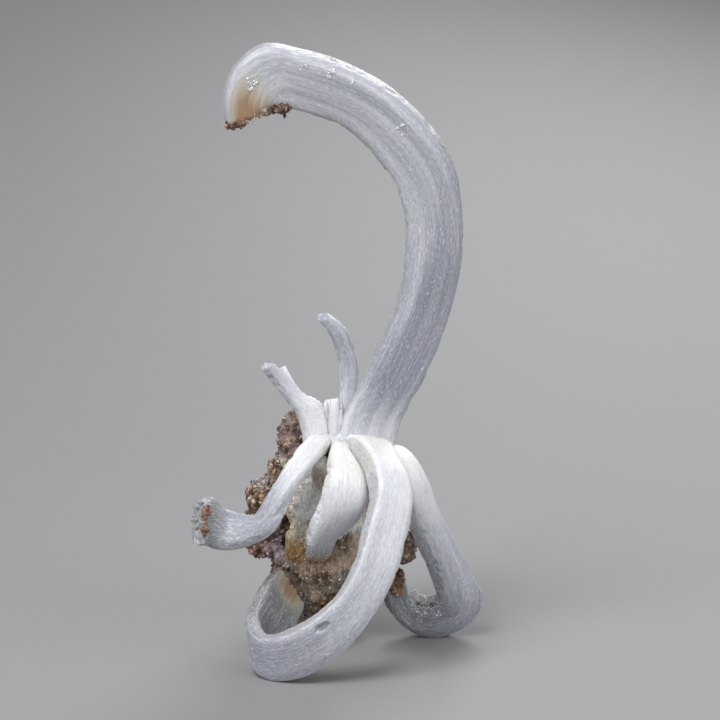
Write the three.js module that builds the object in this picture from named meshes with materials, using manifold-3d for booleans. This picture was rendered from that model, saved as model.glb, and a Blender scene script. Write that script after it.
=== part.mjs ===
// Selenite rams horns: curved ribbons of fibrous gypsum that grew out of one spot on a brown, sugary rock.
// One great horn rises and hooks over to the left, three small ones stand beside it, and four more arch
// forward and hang down, two of them as loops that reach the ground. The rock's cut foot is the third support.
// Millimetres, +Z up, +Y away from the front. The origin is the middle of the underside's bounding box.
import * as THREE from "three";
import { mergeVertices } from "three/addons/utils/BufferGeometryUtils.js";
import Module from "manifold-3d";

const wasm = await Module();
wasm.setup();

// ---- Driving dimensions ----
const GROWTH_GAP = 0.3; // clearance left between two crystals, or a crystal and its rock
const FLUTE_DEPTH = 0.35; // how far the fibre bundles stand out as ridges along a horn
const LUMP_RELIEF = 0.09; // share of a lump's radius that its surface rises and falls by
const FOOT_SINK = 40; // depth of the block that trims the rock flat at the ground

const SELENITE = { color: 0xd6d8dc, roughness: 0.42, metalness: 0 };
const STAINED = { color: 0xa8927c, roughness: 0.5, metalness: 0 };
const ROCK = { color: 0x8a6a52, roughness: 0.9, metalness: 0 };

// A horn is a ribbon drawn by its two edges. Each station is a place down its length, from root to tip:
// [edge A x, y, z, edge B x, y, z, thickness]. boxiness is 1 for an oval section and less for a squarer one,
// and crest moves the thickest line towards edge B (positive) or edge A (negative), at the root and at the tip.
const GREAT_HORN = {
  rings: 35,
  sides: 16,
  boxiness: 0.72,
  crest: [-0.25, 0.5],
  stations: [
    [-3, 6, 54, 14, 9, 54, 12],
    [-0.4, 6, 68, 17.6, 8, 67.5, 12],
    [6, 6, 79.5, 20, 7, 72.5, 12],
    [9, 5, 86.5, 24, 6, 80, 12],
    [13, 4, 95.5, 29, 5, 92, 12],
    [16.5, 3, 105, 32.5, 4, 103.5, 12],
    [18.5, 1, 118, 35, 2, 117, 12],
    [18.5, 0, 128, 35, 0, 130, 11.5],
    [16, -1, 137, 32.5, -2, 143.5, 11.5],
    [11, -2, 145, 25.5, -4, 155, 11.5],
    [3.5, -3, 153, 14.3, -6, 165.5, 11.5],
    [-4, -4, 157, 1.5, -8, 172.3, 11],
    [-10.5, -5, 159, -10.5, -9, 176, 11],
    [-12.8, -6, 159.5, -20.5, -10, 177.8, 10.5],
    [-13.6, -6.5, 159.8, -28.5, -10.5, 172.5, 10],
    [-14, -6.5, 160.4, -32.3, -10, 163.5, 9],
    [-14.1, -6, 160.9, -31.5, -9, 155.5, 8],
  ],
};
const FRONT_LOOP = {
  rings: 32,
  sides: 12,
  boxiness: 0.42,
  crest: [0, 0],
  stations: [
    [0.5, 0, 60, 12.5, 4, 58.5, 8],
    [3, -6, 63, 14.5, 0, 59.5, 8],
    [6.8, -14, 61, 16.2, -7.5, 57.2, 7.5],
    [8.8, -20.5, 57, 19, -15, 53, 7.5],
    [9, -23.5, 51, 19.8, -19, 47.5, 7],
    [6.8, -26.5, 43.8, 18, -22.8, 40, 6.5],
    [4.3, -29, 35, 15.6, -26, 31.5, 6.5],
    [-0.2, -30.5, 26.5, 11, -28.5, 22.7, 6.5],
    [-7, -31.5, 20.2, 3, -30.5, 12, 6],
    [-13.5, -30.5, 16.2, -8, -29.5, 3.2, 6],
    [-19, -27, 13.2, -18, -26.5, 0, 5.5],
    [-23.3, -22.5, 12.8, -23.3, -21.5, 1.5, 5],
    [-25.3, -17.5, 16, -22, -13.5, 3.5, 5],
    [-24, -14, 20.5, -16.5, -8, 5.5, 4.5],
    [-21, -11, 25, -13, -5, 10.5, 4],
    [-17, -9, 28.5, -10.5, -4, 16.5, 3.5],
  ],
};
const RIGHT_LOOP = {
  rings: 25,
  sides: 12,
  boxiness: 0.6,
  crest: [0.2, -0.2],
  stations: [
    [8, 6, 55, 13, 11, 56.5, 8],
    [13, 0, 54.5, 19, 8, 57.4, 8],
    [17.5, -3, 49, 23.2, 6, 51.3, 8],
    [20.5, -1, 40.5, 27.5, 7, 40.5, 8],
    [24.1, 1, 31.5, 32.5, 10, 30.5, 8],
    [27.2, 4, 23, 37, 12, 22.5, 8],
    [29, 7, 15, 42.1, 14, 13.2, 8],
    [28.5, 10, 12, 39.5, 14.5, 5.5, 8],
    [26, 12, 10.5, 30, 14, 0, 7.5],
    [22.5, 13, 10.5, 21.5, 13, 1.5, 7],
    [20, 13, 12.5, 15, 11.5, 7.5, 6.5],
    [19, 12, 17.5, 13, 10, 14, 6],
    [17.5, 11, 21, 13.5, 9, 20.5, 5],
  ],
};
const LEFT_CURL = {
  rings: 21,
  sides: 10,
  boxiness: 0.6,
  crest: [0, 0],
  stations: [
    [-7.5, 1.5, 62.5, -2.5, 1.5, 61.5, 6],
    [-10.5, -8, 64.5, -4.5, -9, 62, 6],
    [-15, -13, 60, -8.5, -14, 58, 5.5],
    [-18.5, -15, 54, -13, -18, 52.5, 5],
    [-21.5, -15, 48, -16, -20, 47.5, 5],
    [-24, -13, 44, -19.5, -21, 42.5, 5],
    [-28, -11, 44, -25, -20, 38.1, 5],
    [-33, -10, 45.5, -31.5, -18, 35.6, 5],
    [-37.2, -11, 49.3, -37.2, -17.5, 36.1, 5.5],
    [-40.5, -15.5, 49.2, -40.5, -21, 38, 5.7],
  ],
};
const MIDDLE_HORN = {
  rings: 18,
  sides: 12,
  boxiness: 0.7,
  crest: [0.1, 0],
  stations: [
    [-3, -1, 60, 1, 0, 60, 7],
    [-3.5, -9, 60.5, 2.5, -8, 59.5, 9],
    [-4, -17, 57, 6.5, -15, 55.5, 9.5],
    [-5, -19, 52.5, 7.5, -17, 50.5, 9.5],
    [-6.5, -18, 46.5, 5, -15, 45.5, 9],
    [-9, -14, 40, -0.5, -11, 39.5, 8],
    [-10.5, -9.5, 34, -2.5, -7.5, 33.5, 6.5],
    [-11, -6.5, 29.5, -4, -4.5, 28.5, 3.5],
  ],
};
const UPRIGHT_HORN = {
  rings: 13,
  sides: 10,
  boxiness: 0.75,
  crest: [-0.3, -0.3],
  stations: [
    [-4, 8, 60, 6.5, 9, 60, 6.5],
    [-0.3, 8, 74, 5, 9, 74.5, 5.5],
    [-0.3, 8, 82.5, 5.2, 9, 83, 5.5],
    [-1.5, 7.5, 89, 3.7, 9, 90, 5],
    [-3.8, 7, 94.5, 1.8, 8, 95, 5],
    [-6, 6.5, 97.5, -1.5, 7, 98.5, 4.5],
    [-7.2, 6, 99.5, -5, 6, 100.7, 3.5],
  ],
};
const STUB = {
  rings: 5,
  sides: 8,
  boxiness: 0.8,
  crest: [0, 0],
  stations: [
    [-5.5, 4.5, 60, 0.5, 5.5, 60, 5.5],
    [-4.9, 4.5, 70.5, -0.1, 5.5, 70.5, 5],
    [-4, 5, 76.3, -1, 6, 75.8, 4],
  ],
};
const FORKED_HORN = {
  rings: 9,
  sides: 10,
  boxiness: 0.7,
  crest: [0, 0],
  stations: [
    [-9.8, 1.5, 56, -3, 3.5, 56, 7],
    [-11.8, 1, 69, -5.2, 4, 72.5, 6],
    [-14.5, 0, 74, -10.5, 3, 76.5, 5],
    [-19, -1, 80.5, -15.5, 2, 82, 4.5],
    [-23.2, -2, 86.2, -20.7, 0, 87.5, 4],
  ],
};
const FORK_PRONG = {
  rings: 7,
  sides: 8,
  boxiness: 0.75,
  crest: [0, 0],
  stations: [
    [-11, 4, 69, -7, 5, 71.5, 4],
    [-13, 4, 73.5, -10.5, 5, 75.5, 4],
    [-16, 4, 79.5, -14, 5, 80.5, 3.5],
    [-18, 4, 85, -16.7, 5, 85.5, 3],
  ],
};

// A lump is a knobbly ball: [centre x, y, z, radius x, y, z].
const ROCK_LUMPS = [
  [-2, 20, 38, 18, 13, 24], // body
  [3, 24.8, 42, 14, 9.5, 19], // back
  [-13.8, 14, 62, 4.7, 7, 9], // spur behind the small horns
  [-15, 13.5, 50.5, 7, 8, 6.5],
  [-20.5, 12, 43, 8.2, 8, 7.2], // left shoulder
  [-22, 12, 35, 7, 7, 5.5],
  [-22, 12, 28, 7, 7, 4], // left knob
  [-14.5, 8, 22.5, 6.5, 6, 6],
  [16.5, 11, 28.5, 7, 7, 6.5], // right knob
  [-2, 20, 18, 12, 13, 14], // waist
  [-4.5, 22, 4, 10.5, 11.5, 7], // foot
  [8.5, 12, 50, 8, 8, 8], // under the great horn's root
  [-13.5, -1.5, 21.5, 4.5, 4.8, 5.5], // round the front loop's end
];
const STAINED_LUMPS = [
  [-3, 4, 43, 12, 9, 19], // body, behind the middle horn
  [2.5, -2, 33, 7, 6, 7],
  [-2.5, -3, 25.5, 7, 6, 6.5],
  [-11.5, -2.5, 32, 4.6, 5, 8],
  [-9, -2, 20, 3.8, 4, 4],
  [-11, -3, 46, 4.6, 5, 9],
  [0.5, -2.5, 29.5, 8, 5.8, 8], // between the lower two
  [-8, -4.5, 27, 5, 4.2, 4.5], // round the middle horn's tip
];
const HORN_TIP_LUMPS = [
  [-15.6, -10, 159.9, 2.4, 2.8, 2.2],
  [-20.2, -12.4, 159.4, 3.6, 2.2, 1.6],
  [-24.9, -12.9, 157.4, 4, 2.2, 1.6],
  [-29.3, -12.2, 155.3, 3.4, 2.6, 2],
];
const CURL_TIP_LUMPS = [
  [-38, -17.8, 47.4, 1.8, 1.8, 2],
  [-38.1, -19.8, 44.4, 1.7, 1.6, 2],
  [-38.5, -21.2, 41.6, 1.6, 1.6, 1.9],
];

// ---- Small helpers ----

// A repeatable ripple between -1 and 1, made of three waves that never line up.
function ripple(a, b, c) {
  return (Math.sin(1.7 * a + 2.3 * b + 0.4) + Math.sin(2.9 * b - 1.3 * c + 1.1) + Math.sin(2.1 * c + 1.9 * a + 2.6)) / 3;
}

// A closed geometry as a manifold-3d solid.
function solidOf(geometry) {
  geometry.deleteAttribute("normal");
  geometry.deleteAttribute("uv");
  const merged = mergeVertices(geometry, 1e-4);
  const vertProperties = new Float32Array(merged.attributes.position.array);
  const triVerts = new Uint32Array(merged.index.array);
  return new wasm.Manifold(new wasm.Mesh({ numProp: 3, vertProperties, triVerts }));
}

// The biggest connected body of a solid, so that a cut leaves no loose crumbs.
function biggestBody(solid) {
  return solid.decompose().reduce((best, body) => (body.volume() > best.volume() ? body : best));
}

// A manifold-3d solid as a named mesh.
function meshOf(name, solid, finish) {
  const { numProp, vertProperties, triVerts } = solid.getMesh();
  const position = new Float32Array((vertProperties.length / numProp) * 3);
  for (let i = 0; i < position.length / 3; i += 1) {
    position.set(vertProperties.subarray(i * numProp, i * numProp + 3), i * 3);
  }
  const geometry = new THREE.BufferGeometry();
  geometry.setAttribute("position", new THREE.BufferAttribute(position, 3));
  geometry.setIndex(new THREE.BufferAttribute(new Uint32Array(triVerts), 1));
  geometry.computeVertexNormals();
  const mesh = new THREE.Mesh(geometry, new THREE.MeshStandardMaterial(finish));
  mesh.name = name;
  return mesh;
}

// ---- Horns ----

// A point of the ribbon's section, in shares of its half width and half thickness.
function sectionPoint(angle, boxiness, crest) {
  const x = Math.sign(Math.cos(angle)) * Math.abs(Math.cos(angle)) ** boxiness;
  const y = Math.sign(Math.sin(angle)) * Math.abs(Math.sin(angle)) ** boxiness;
  return [x + crest * (1 - x * x), y];
}

// Sweeps the fluted section down the two edges and closes both ends. grow makes it that much bigger all round.
function hornGeometry({ rings, sides, boxiness, crest, stations }, grow = 0) {
  const through = (pick) => new THREE.CatmullRomCurve3(stations.map(pick), false, "catmullrom", 0.5);
  const edgeA = through((s) => new THREE.Vector3(s[0], s[1], s[2]));
  const edgeB = through((s) => new THREE.Vector3(s[3], s[4], s[5]));
  const spine = through((s) => new THREE.Vector3((s[0] + s[3]) / 2, (s[1] + s[4]) / 2, (s[2] + s[5]) / 2));
  const depth = through((s) => new THREE.Vector3(s[6], 0, 0));
  const frame = (t) => {
    const across = edgeB.getPoint(t).sub(edgeA.getPoint(t)).multiplyScalar(0.5);
    const along = spine.getTangent(t);
    const out = along.clone().cross(across).normalize();
    return { centre: spine.getPoint(t), across, along, out, half: depth.getPoint(t).x / 2 };
  };
  const points = [];
  const faces = [];
  for (let ring = 0; ring <= rings; ring += 1) {
    const t = ring / rings;
    const { centre, across, along, out, half } = frame(t);
    const halfWidth = across.length();
    const lean = THREE.MathUtils.lerp(crest[0], crest[1], t);
    const end = ring === 0 ? -1 : ring === rings ? 1 : 0;
    for (let side = 0; side < sides; side += 1) {
      const [x, y] = sectionPoint((side / sides) * 2 * Math.PI, boxiness, lean);
      const flute = side % 2 ? -FLUTE_DEPTH / 2 : FLUTE_DEPTH / 2;
      const wide = x * (halfWidth + flute + grow);
      const thick = y * (half + flute + grow);
      const ragged = end * (0.5 * ripple(side, side * side, ring) + grow);
      const point = centre.clone().addScaledVector(across, wide / halfWidth).addScaledVector(out, thick);
      points.push(...point.addScaledVector(along, ragged).toArray());
      if (ring < rings) {
        const here = ring * sides + side;
        const next = ring * sides + ((side + 1) % sides);
        faces.push(here, next, next + sides, here, next + sides, here + sides);
      }
    }
  }
  for (const [ring, turn] of [[0, -1], [rings, 1]]) {
    const { centre, along } = frame(ring / rings);
    const middle = points.length / 3;
    points.push(...centre.addScaledVector(along, turn * grow).toArray());
    for (let side = 0; side < sides; side += 1) {
      const here = ring * sides + side;
      const next = ring * sides + ((side + 1) % sides);
      faces.push(...(turn > 0 ? [middle, here, next] : [middle, next, here]));
    }
  }
  const geometry = new THREE.BufferGeometry();
  geometry.setAttribute("position", new THREE.Float32BufferAttribute(points, 3));
  geometry.setIndex(faces);
  return geometry;
}

// ---- Rock and stained gypsum ----

// Joins knobbly balls into one solid, with more facets on the big ones. grow makes it that much bigger all round.
function lumpSolid(lumps, grow = 0) {
  return lumps
    .map(([x, y, z, rx, ry, rz]) => {
      const size = Math.max(rx, ry, rz);
      const ball = new THREE.IcosahedronGeometry(1, size > 8 ? 2 : 1);
      const at = ball.attributes.position;
      for (let i = 0; i < at.count; i += 1) {
        const [u, v, w] = [at.getX(i), at.getY(i), at.getZ(i)];
        const knob = 1 + LUMP_RELIEF * (ripple(3 * u + x, 3 * v + y, 3 * w + z) + ripple(7 * u - z, 7 * v + x, 7 * w));
        at.setXYZ(i, x + u * (rx * knob + grow), y + v * (ry * knob + grow), z + w * (rz * knob + grow));
      }
      return solidOf(ball);
    })
    .reduce((all, lump) => all.add(lump));
}

const ground = solidOf(new THREE.BoxGeometry(400, 400, FOOT_SINK).translate(0, 0, -FOOT_SINK / 2));

// ---- Assembly: each piece makes room for the ones before it ----
const specimen = new THREE.Group();
let taken = ground;

function addPiece(name, solid, grown, finish) {
  const fitted = biggestBody(solid.subtract(taken));
  taken = taken.add(fitted).add(grown);
  specimen.add(meshOf(name, fitted, finish));
}

function hornSolids(...horns) {
  const join = (grow) => horns.map((horn) => solidOf(hornGeometry(horn, grow))).reduce((all, one) => all.add(one));
  return [join(0), join(GROWTH_GAP)];
}

function lumpSolids(lumps) {
  return [lumpSolid(lumps), lumpSolid(lumps, GROWTH_GAP)];
}

addPiece("great_horn", ...hornSolids(GREAT_HORN), SELENITE);
addPiece("front_loop", ...hornSolids(FRONT_LOOP), SELENITE);
addPiece("right_loop", ...hornSolids(RIGHT_LOOP), SELENITE);
addPiece("left_curl", ...hornSolids(LEFT_CURL), SELENITE);
addPiece("middle_horn", ...hornSolids(MIDDLE_HORN), SELENITE);
addPiece("upright_horn", ...hornSolids(UPRIGHT_HORN, STUB), SELENITE);
addPiece("forked_horn", ...hornSolids(FORKED_HORN, FORK_PRONG), SELENITE);
addPiece("stained_gypsum", ...lumpSolids(STAINED_LUMPS), STAINED);
addPiece("rock", ...lumpSolids(ROCK_LUMPS), ROCK);
addPiece("great_horn_tip_rock", ...lumpSolids(HORN_TIP_LUMPS), ROCK);
addPiece("left_curl_tip_rock", ...lumpSolids(CURL_TIP_LUMPS), ROCK);

export default specimen;
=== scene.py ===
# %% [markdown]
# # Selenite ram's horns
# Selenite is clear gypsum. Where it is squeezed out of a rock as fine fibres that grow faster on one side
# than on the other, the bundle of fibres bends into a ribbon: a ram's horn. This specimen has eight of them,
# counting a broken stub, grown out of one spot on a brown, sugary rock. This lesson dresses its solid model,
# which is loaded first and is never moved: every piece made here stands in the place of one of its solids.

# %% Load the solid model
import math
from functools import partialmethod
from types import SimpleNamespace

import bmesh
import bpy
import numpy as np
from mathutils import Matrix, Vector, noise


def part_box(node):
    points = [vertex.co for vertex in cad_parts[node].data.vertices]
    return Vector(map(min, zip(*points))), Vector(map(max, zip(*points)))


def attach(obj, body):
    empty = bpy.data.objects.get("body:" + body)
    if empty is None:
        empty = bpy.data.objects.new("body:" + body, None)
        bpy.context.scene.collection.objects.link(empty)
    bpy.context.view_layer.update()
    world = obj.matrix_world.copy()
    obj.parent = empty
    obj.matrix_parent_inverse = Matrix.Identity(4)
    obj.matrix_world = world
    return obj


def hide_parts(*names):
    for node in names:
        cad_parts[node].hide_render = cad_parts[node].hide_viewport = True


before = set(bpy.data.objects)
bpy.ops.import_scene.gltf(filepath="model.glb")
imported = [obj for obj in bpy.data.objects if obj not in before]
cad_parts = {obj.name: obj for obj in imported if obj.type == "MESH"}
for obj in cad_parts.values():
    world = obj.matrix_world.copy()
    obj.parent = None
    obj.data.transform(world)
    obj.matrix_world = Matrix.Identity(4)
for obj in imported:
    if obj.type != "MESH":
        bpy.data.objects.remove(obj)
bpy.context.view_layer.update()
MM = 0.001  # the tables below are in millimetres, and Blender works in metres
PER_SQUARE_MM = 1e6  # and it counts points by the square metre
print("solids:", sorted(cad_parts))

# %% [markdown]
# ## Camera
# A long lens, a little above the specimen and looking slightly down, keeps the tall horn from bulging.
# It comes first, so that every test picture has the same framing.

# %% Camera
CAMERA_PITCH = math.radians(10)
CAMERA_DISTANCE = 563 * MM
CAMERA_AIM = Vector((5.7, -15, 90)) * MM
CAMERA_LENS_MM = 100


def add_camera():
    data = bpy.data.cameras.new("camera")
    data.lens = CAMERA_LENS_MM
    data.clip_start = 10 * MM
    camera = bpy.data.objects.new("camera", data)
    view = Vector((0, math.cos(CAMERA_PITCH), -math.sin(CAMERA_PITCH)))
    camera.location = CAMERA_AIM - view * CAMERA_DISTANCE
    camera.rotation_euler = (math.radians(90) - CAMERA_PITCH, 0, 0)
    bpy.context.scene.collection.objects.link(camera)
    bpy.context.scene.camera = camera
    return camera


camera = add_camera()
print("camera at", [round(v, 3) for v in camera.location])

# %% [markdown]
# ## A short way to write node trees
# Geometry and materials are both node trees. Clicking them together is quick in the editor, but a script
# needs a line or more for each node, link and value. `Graph` keeps that short: each method adds a node, plugs
# its inputs in order, and gives back an output socket that the next line can use.


# %% Graph
class Graph:
    """Adds nodes to a tree. Values and sockets can be given in the same places."""

    def __init__(self, tree):
        self.tree = tree

    def node(self, kind, *values, **settings):
        made = self.tree.nodes.new(kind)
        for key, value in settings.items():
            setattr(made, key, value)
        for socket, value in zip([s for s in made.inputs if s.enabled], values):
            self.plug(socket, value)
        return made

    def plug(self, socket, value):
        if isinstance(value, bpy.types.NodeSocket):
            self.tree.links.new(value, socket)
        elif value is not None:
            socket.default_value = value

    def get(self, kind, *values, **settings):
        made = self.node(kind, *values, **settings)
        return next(s for s in made.outputs if s.enabled)

    def geo(self, kind, *values, **settings):
        return self.get("GeometryNode" + kind, *values, **settings)

    def math(self, operation, *values):
        return self.get("ShaderNodeMath", *values, operation=operation)

    plus = partialmethod(math, "ADD")
    minus = partialmethod(math, "SUBTRACT")
    times = partialmethod(math, "MULTIPLY")
    times_plus = partialmethod(math, "MULTIPLY_ADD")  # the first times the second, plus the third
    over = partialmethod(math, "DIVIDE")
    power = partialmethod(math, "POWER")
    size = partialmethod(math, "ABSOLUTE")
    most = partialmethod(math, "MAXIMUM")
    above = partialmethod(math, "GREATER_THAN")  # 1 where the first is above the second, and 0 elsewhere

    def vector(self, operation, *values):
        return self.get("ShaderNodeVectorMath", *values, operation=operation)

    def scaled(self, vector, factor):
        return self.get("ShaderNodeVectorMath", vector, factor, operation="SCALE")

    def mix(self, factor, a, b):
        return self.get("ShaderNodeMix", factor, a, b, data_type="FLOAT")

    def blend(self, factor, a, b):
        return self.get("ShaderNodeMix", factor, a, b, data_type="RGBA")

    def ramp(self, value, low, high, to_low=0.0, to_high=1.0):
        steps = (value, low, high, to_low, to_high)
        return self.get("ShaderNodeMapRange", *steps, interpolation_type="SMOOTHSTEP")

    def noise(self, vector, scale=1.0, detail=2.0, roughness=0.5):
        return self.get("ShaderNodeTexNoise", vector, scale, detail, roughness)

    def xyz(self, vector):
        return self.node("ShaderNodeSeparateXYZ", vector).outputs

    def joined(self, x, y, z):
        return self.get("ShaderNodeCombineXYZ", x, y, z)

    def read(self, name, kind="FLOAT"):
        return self.geo("InputNamedAttribute", name, data_type=kind)

    def write(self, geometry, name, value, kind="FLOAT"):
        return self.geo("StoreNamedAttribute", geometry, None, name, value, data_type=kind)

    def join(self, *parts):
        heap = self.tree.nodes.new("GeometryNodeJoinGeometry")
        for part in parts:
            self.plug(heap.inputs[0], part)
        return heap.outputs[0]

    def points(self, skin, method, **values):
        """Points scattered over a skin; the values are its input sockets by name, with _ for a space."""
        made = self.node("GeometryNodeDistributePointsOnFaces", skin, distribute_method=method)
        for label, value in values.items():
            self.plug(made.inputs[label.replace("_", " ")], value)
        return made.outputs["Points"]


# %% New trees, and running them
def geometry_tree(name, inputs):
    """A Geometry Nodes tree with named inputs of each kind: (graph, input sockets by name, output node)."""
    tree = bpy.data.node_groups.new(name, "GeometryNodeTree")
    tree.interface.new_socket("Geometry", in_out="INPUT", socket_type="NodeSocketGeometry")
    for kind, labels in inputs.items():
        for label in labels:
            tree.interface.new_socket(label, in_out="INPUT", socket_type="NodeSocket" + kind)
    tree.interface.new_socket("Geometry", in_out="OUTPUT", socket_type="NodeSocketGeometry")
    start = tree.nodes.new("NodeGroupInput")
    end = tree.nodes.new("NodeGroupOutput")
    return Graph(tree), {socket.name: socket for socket in start.outputs}, end


def run_tree(piece, tree, values):
    """Sets a tree's inputs, evaluates it on piece and leaves a plain mesh without a modifier."""
    grower = piece.modifiers.new(tree.name, "NODES")
    grower.node_group = tree
    for socket in tree.interface.items_tree:
        if socket.in_out == "INPUT" and socket.name in values:
            value = values[socket.name]
            grower[socket.identifier] = float(value) if socket.socket_type == "NodeSocketFloat" else value
    bake_modifiers(piece)


def bake_modifiers(piece):
    """Makes what a piece's modifiers show its plain mesh, and takes them off."""
    seen = piece.evaluated_get(bpy.context.evaluated_depsgraph_get())
    plain = bpy.data.meshes.new_from_object(seen)
    piece.modifiers.clear()
    piece.data = plain
    plain.name = piece.name


# %% Pieces
PIECES = []  # each finished piece, with the solid whose place it takes and the slot of its finish


def add_piece(name, mesh):
    piece = bpy.data.objects.new(name, mesh)
    bpy.context.scene.collection.objects.link(piece)
    return piece


def finished(piece, node, slot):
    PIECES.append((piece, node, slot))
    print(f"{piece.name}: {sum(len(face.vertices) - 2 for face in piece.data.polygons)} triangles")
    return piece


# %% [markdown]
# ## How a horn grows
# A horn is drawn by its two edges. Each station down its length gives edge A, edge B and the thickness.
# It could be lofted by hand, but the rule is simple, so Geometry Nodes grows it: a smooth curve runs through
# the middles of the stations, a cylinder of many small faces is bent along it, and each of its rings is
# pressed into a rounded box as wide as the two edges are apart. Crest says where across the ribbon it is
# thickest: a positive value moves that line towards edge B.
#
# The look of fibres comes from the same tree. Noise that is stretched sixty times along the horn raises
# bundles and grooves, a ridge can run down the face, chips are bitten out of the thin edges, a pit can be
# broken out of the front, and at the tip each bundle breaks off at a depth of its own. Slivers of split fibre
# lie on the skin. The tree also writes down where each point is in the horn's own directions, as the
# attribute "fibre", so that the material's streaks follow every bend.


# %% Keep inside the solid, and finish
def finish_tree(g, ask, grown, end):
    """Presses what stands out of the solid's own box back onto it, realizes and sets the material."""
    spot = g.geo("InputPosition")
    inside = g.vector("MINIMUM", g.vector("MAXIMUM", spot, ask["Low corner"]), ask["High corner"])
    kept = g.geo("SetPosition", grown, None, inside)
    realized = g.geo("RealizeInstances", kept)
    g.plug(end.inputs[0], g.geo("SetMaterial", realized, None, ask["Finish"]))


# %% What a horn can be asked for
HORN_INPUTS = {
    "Int": ("Rings", "Sides", "Cap rings"),
    "Float": (
        "Boxiness", "Root crest", "Tip crest", "Bundle relief", "Ridge height", "Root ridge", "Tip ridge",
        "Chip depth", "Ragged", "Root milk", "Tip milk", "Edge milk and shade", "Clear from", "Clear and shaded sides",
        "Stain length", "Stain side", "Slivers per square metre", "Seed",
    ),
    "Vector": ("Pit", "Low corner", "High corner"),
    "Material": ("Finish",),
}


# %% Curve
CURVE_STEPS = 24  # between two stations


def horn_curve(g, stations):
    """The smooth middle line, and what each place on it knows."""
    line = g.geo("MeshToCurve", stations)
    smooth = g.geo("CurveSplineType", line, spline_type="CATMULL_ROM")
    curve = g.geo("SetSplineResolution", smooth, None, CURVE_STEPS)

    def sample(name, kind, factor):
        asked = (curve, g.read(name, kind), factor, 0)
        return g.node("GeometryNodeSampleCurve", *asked, data_type=kind, mode="FACTOR").outputs

    return g.geo("CurveLength", curve), sample


# %% Section
EDGE_POWER = 8.0  # the higher, the narrower the strip that counts as a thin edge
SEED_LEAN = 1.7  # a seed moves the noise this much more one way than the other


def box_section(g, theta, boxiness, share):
    """A rounded box of half size 1 by 1: the point at an angle, and the slope of its skin there."""
    power = g.over(2.0, boxiness)
    cosine, sine = g.math("COSINE", theta), g.math("SINE", theta)
    sum_of_powers = g.plus(g.power(g.size(cosine), power), g.power(g.size(sine), power))
    size = g.power(sum_of_powers, g.over(1.0, power))
    x, y = g.over(cosine, size), g.over(sine, size)
    steep = g.minus(power, 1.0)
    slopes = [g.times(g.math("SIGN", v), g.power(g.size(v), steep)) for v in (x, y)]
    return g.times(x, share), g.times(y, share), slopes


def places_on_tube(g, ask, length, sample):
    """A long tube of small faces, and where its points are: how far along, across and through the horn."""
    sizes = (ask["Sides"], ask["Rings"], ask["Cap rings"], 1.0, 1.0)
    tube = g.geo("MeshCylinder", *sizes, fill_type="TRIANGLE_FAN")
    spot = g.xyz(g.geo("InputPosition"))
    along = g.plus(spot["Z"], 0.5)  # a tube of height 1 stands from -0.5 to 0.5
    theta = g.math("ARCTAN2", spot["Y"], spot["X"])
    share = g.math("MINIMUM", g.vector("LENGTH", g.joined(spot["X"], spot["Y"], 0.0)), 1.0)
    x, y, slopes = box_section(g, theta, ask["Boxiness"], share)
    crest = g.mix(along, ask["Root crest"], ask["Tip crest"])
    leaning = g.times_plus(crest, g.minus(1.0, g.times(x, x)), x)
    half_width = g.vector("LENGTH", sample("across", "FLOAT_VECTOR", along)["Value"])
    half_depth = sample("half_depth", "FLOAT", along)["Value"]
    return SimpleNamespace(
        tube=tube, along=along, share=share, x=x, y=y, slopes=slopes, leaning=leaning,
        half_width=half_width, half_depth=half_depth, length=length,
        wide=g.times(leaning, half_width), deep=g.times(y, half_depth), far=g.times(along, length),
        shift=g.joined(ask["Seed"], g.times(ask["Seed"], SEED_LEAN), 0.0),
        thin=g.power(g.size(x), EDGE_POWER),
    )


# %% Splinters and fibres
SPLINTER_WIDTH = 1.1 * MM
SPLINTER_MIX = (0.9, 0.55)  # how much the slow noise counts, and the splinter's own number
SPLINTER_REACH = 4.0  # how far up the splitting is felt, in splinter lengths
BUNDLE_WIDTH = 1.5 * MM
BUNDLE_STRETCH = 60
BUNDLE_TOP, FINE_TOP = 0.68, 0.6  # the noise seldom rises higher, so hardly anything stands out
FINE_SHARE = 0.36  # a fine fibre's width, in bundle widths


def splintered_end(g, ask, at):
    """Each bundle stops short of the tip by an amount of its own: the share along where it ends up."""
    across_tip = g.vector("ADD", g.scaled(g.joined(at.wide, at.deep, 0.0), 1 / SPLINTER_WIDTH), at.shift)
    cell = g.node("ShaderNodeTexVoronoi", across_tip, 1.0).outputs["Color"]
    own_number = g.times(g.xyz(cell)["X"], SPLINTER_MIX[1])
    broken = g.times_plus(g.noise(across_tip, 0.35), SPLINTER_MIX[0], own_number)
    reach = g.times_plus(ask["Ragged"], SPLINTER_REACH, MM)
    near_tip = g.ramp(g.minus(at.length, at.far), 0.0, reach, 1.0, 0.0)
    shorter = g.times(g.times(broken, ask["Ragged"]), near_tip)
    return g.minus(at.along, g.over(shorter, at.length))


def fibre_relief(g, ask, at):
    """Bundles and fine fibres, kept just under the smooth section so that nothing stands out past it."""
    stretched = g.joined(at.wide, at.deep, g.over(at.far, BUNDLE_STRETCH))
    pattern = g.vector("ADD", g.scaled(stretched, 1 / BUNDLE_WIDTH), at.shift)
    bundles = g.minus(g.noise(pattern, detail=1.0), BUNDLE_TOP)
    fine = g.minus(g.noise(pattern, 1 / FINE_SHARE, detail=1.0), FINE_TOP)
    return g.times(g.times_plus(fine, 0.5, bundles), ask["Bundle relief"])


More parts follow.
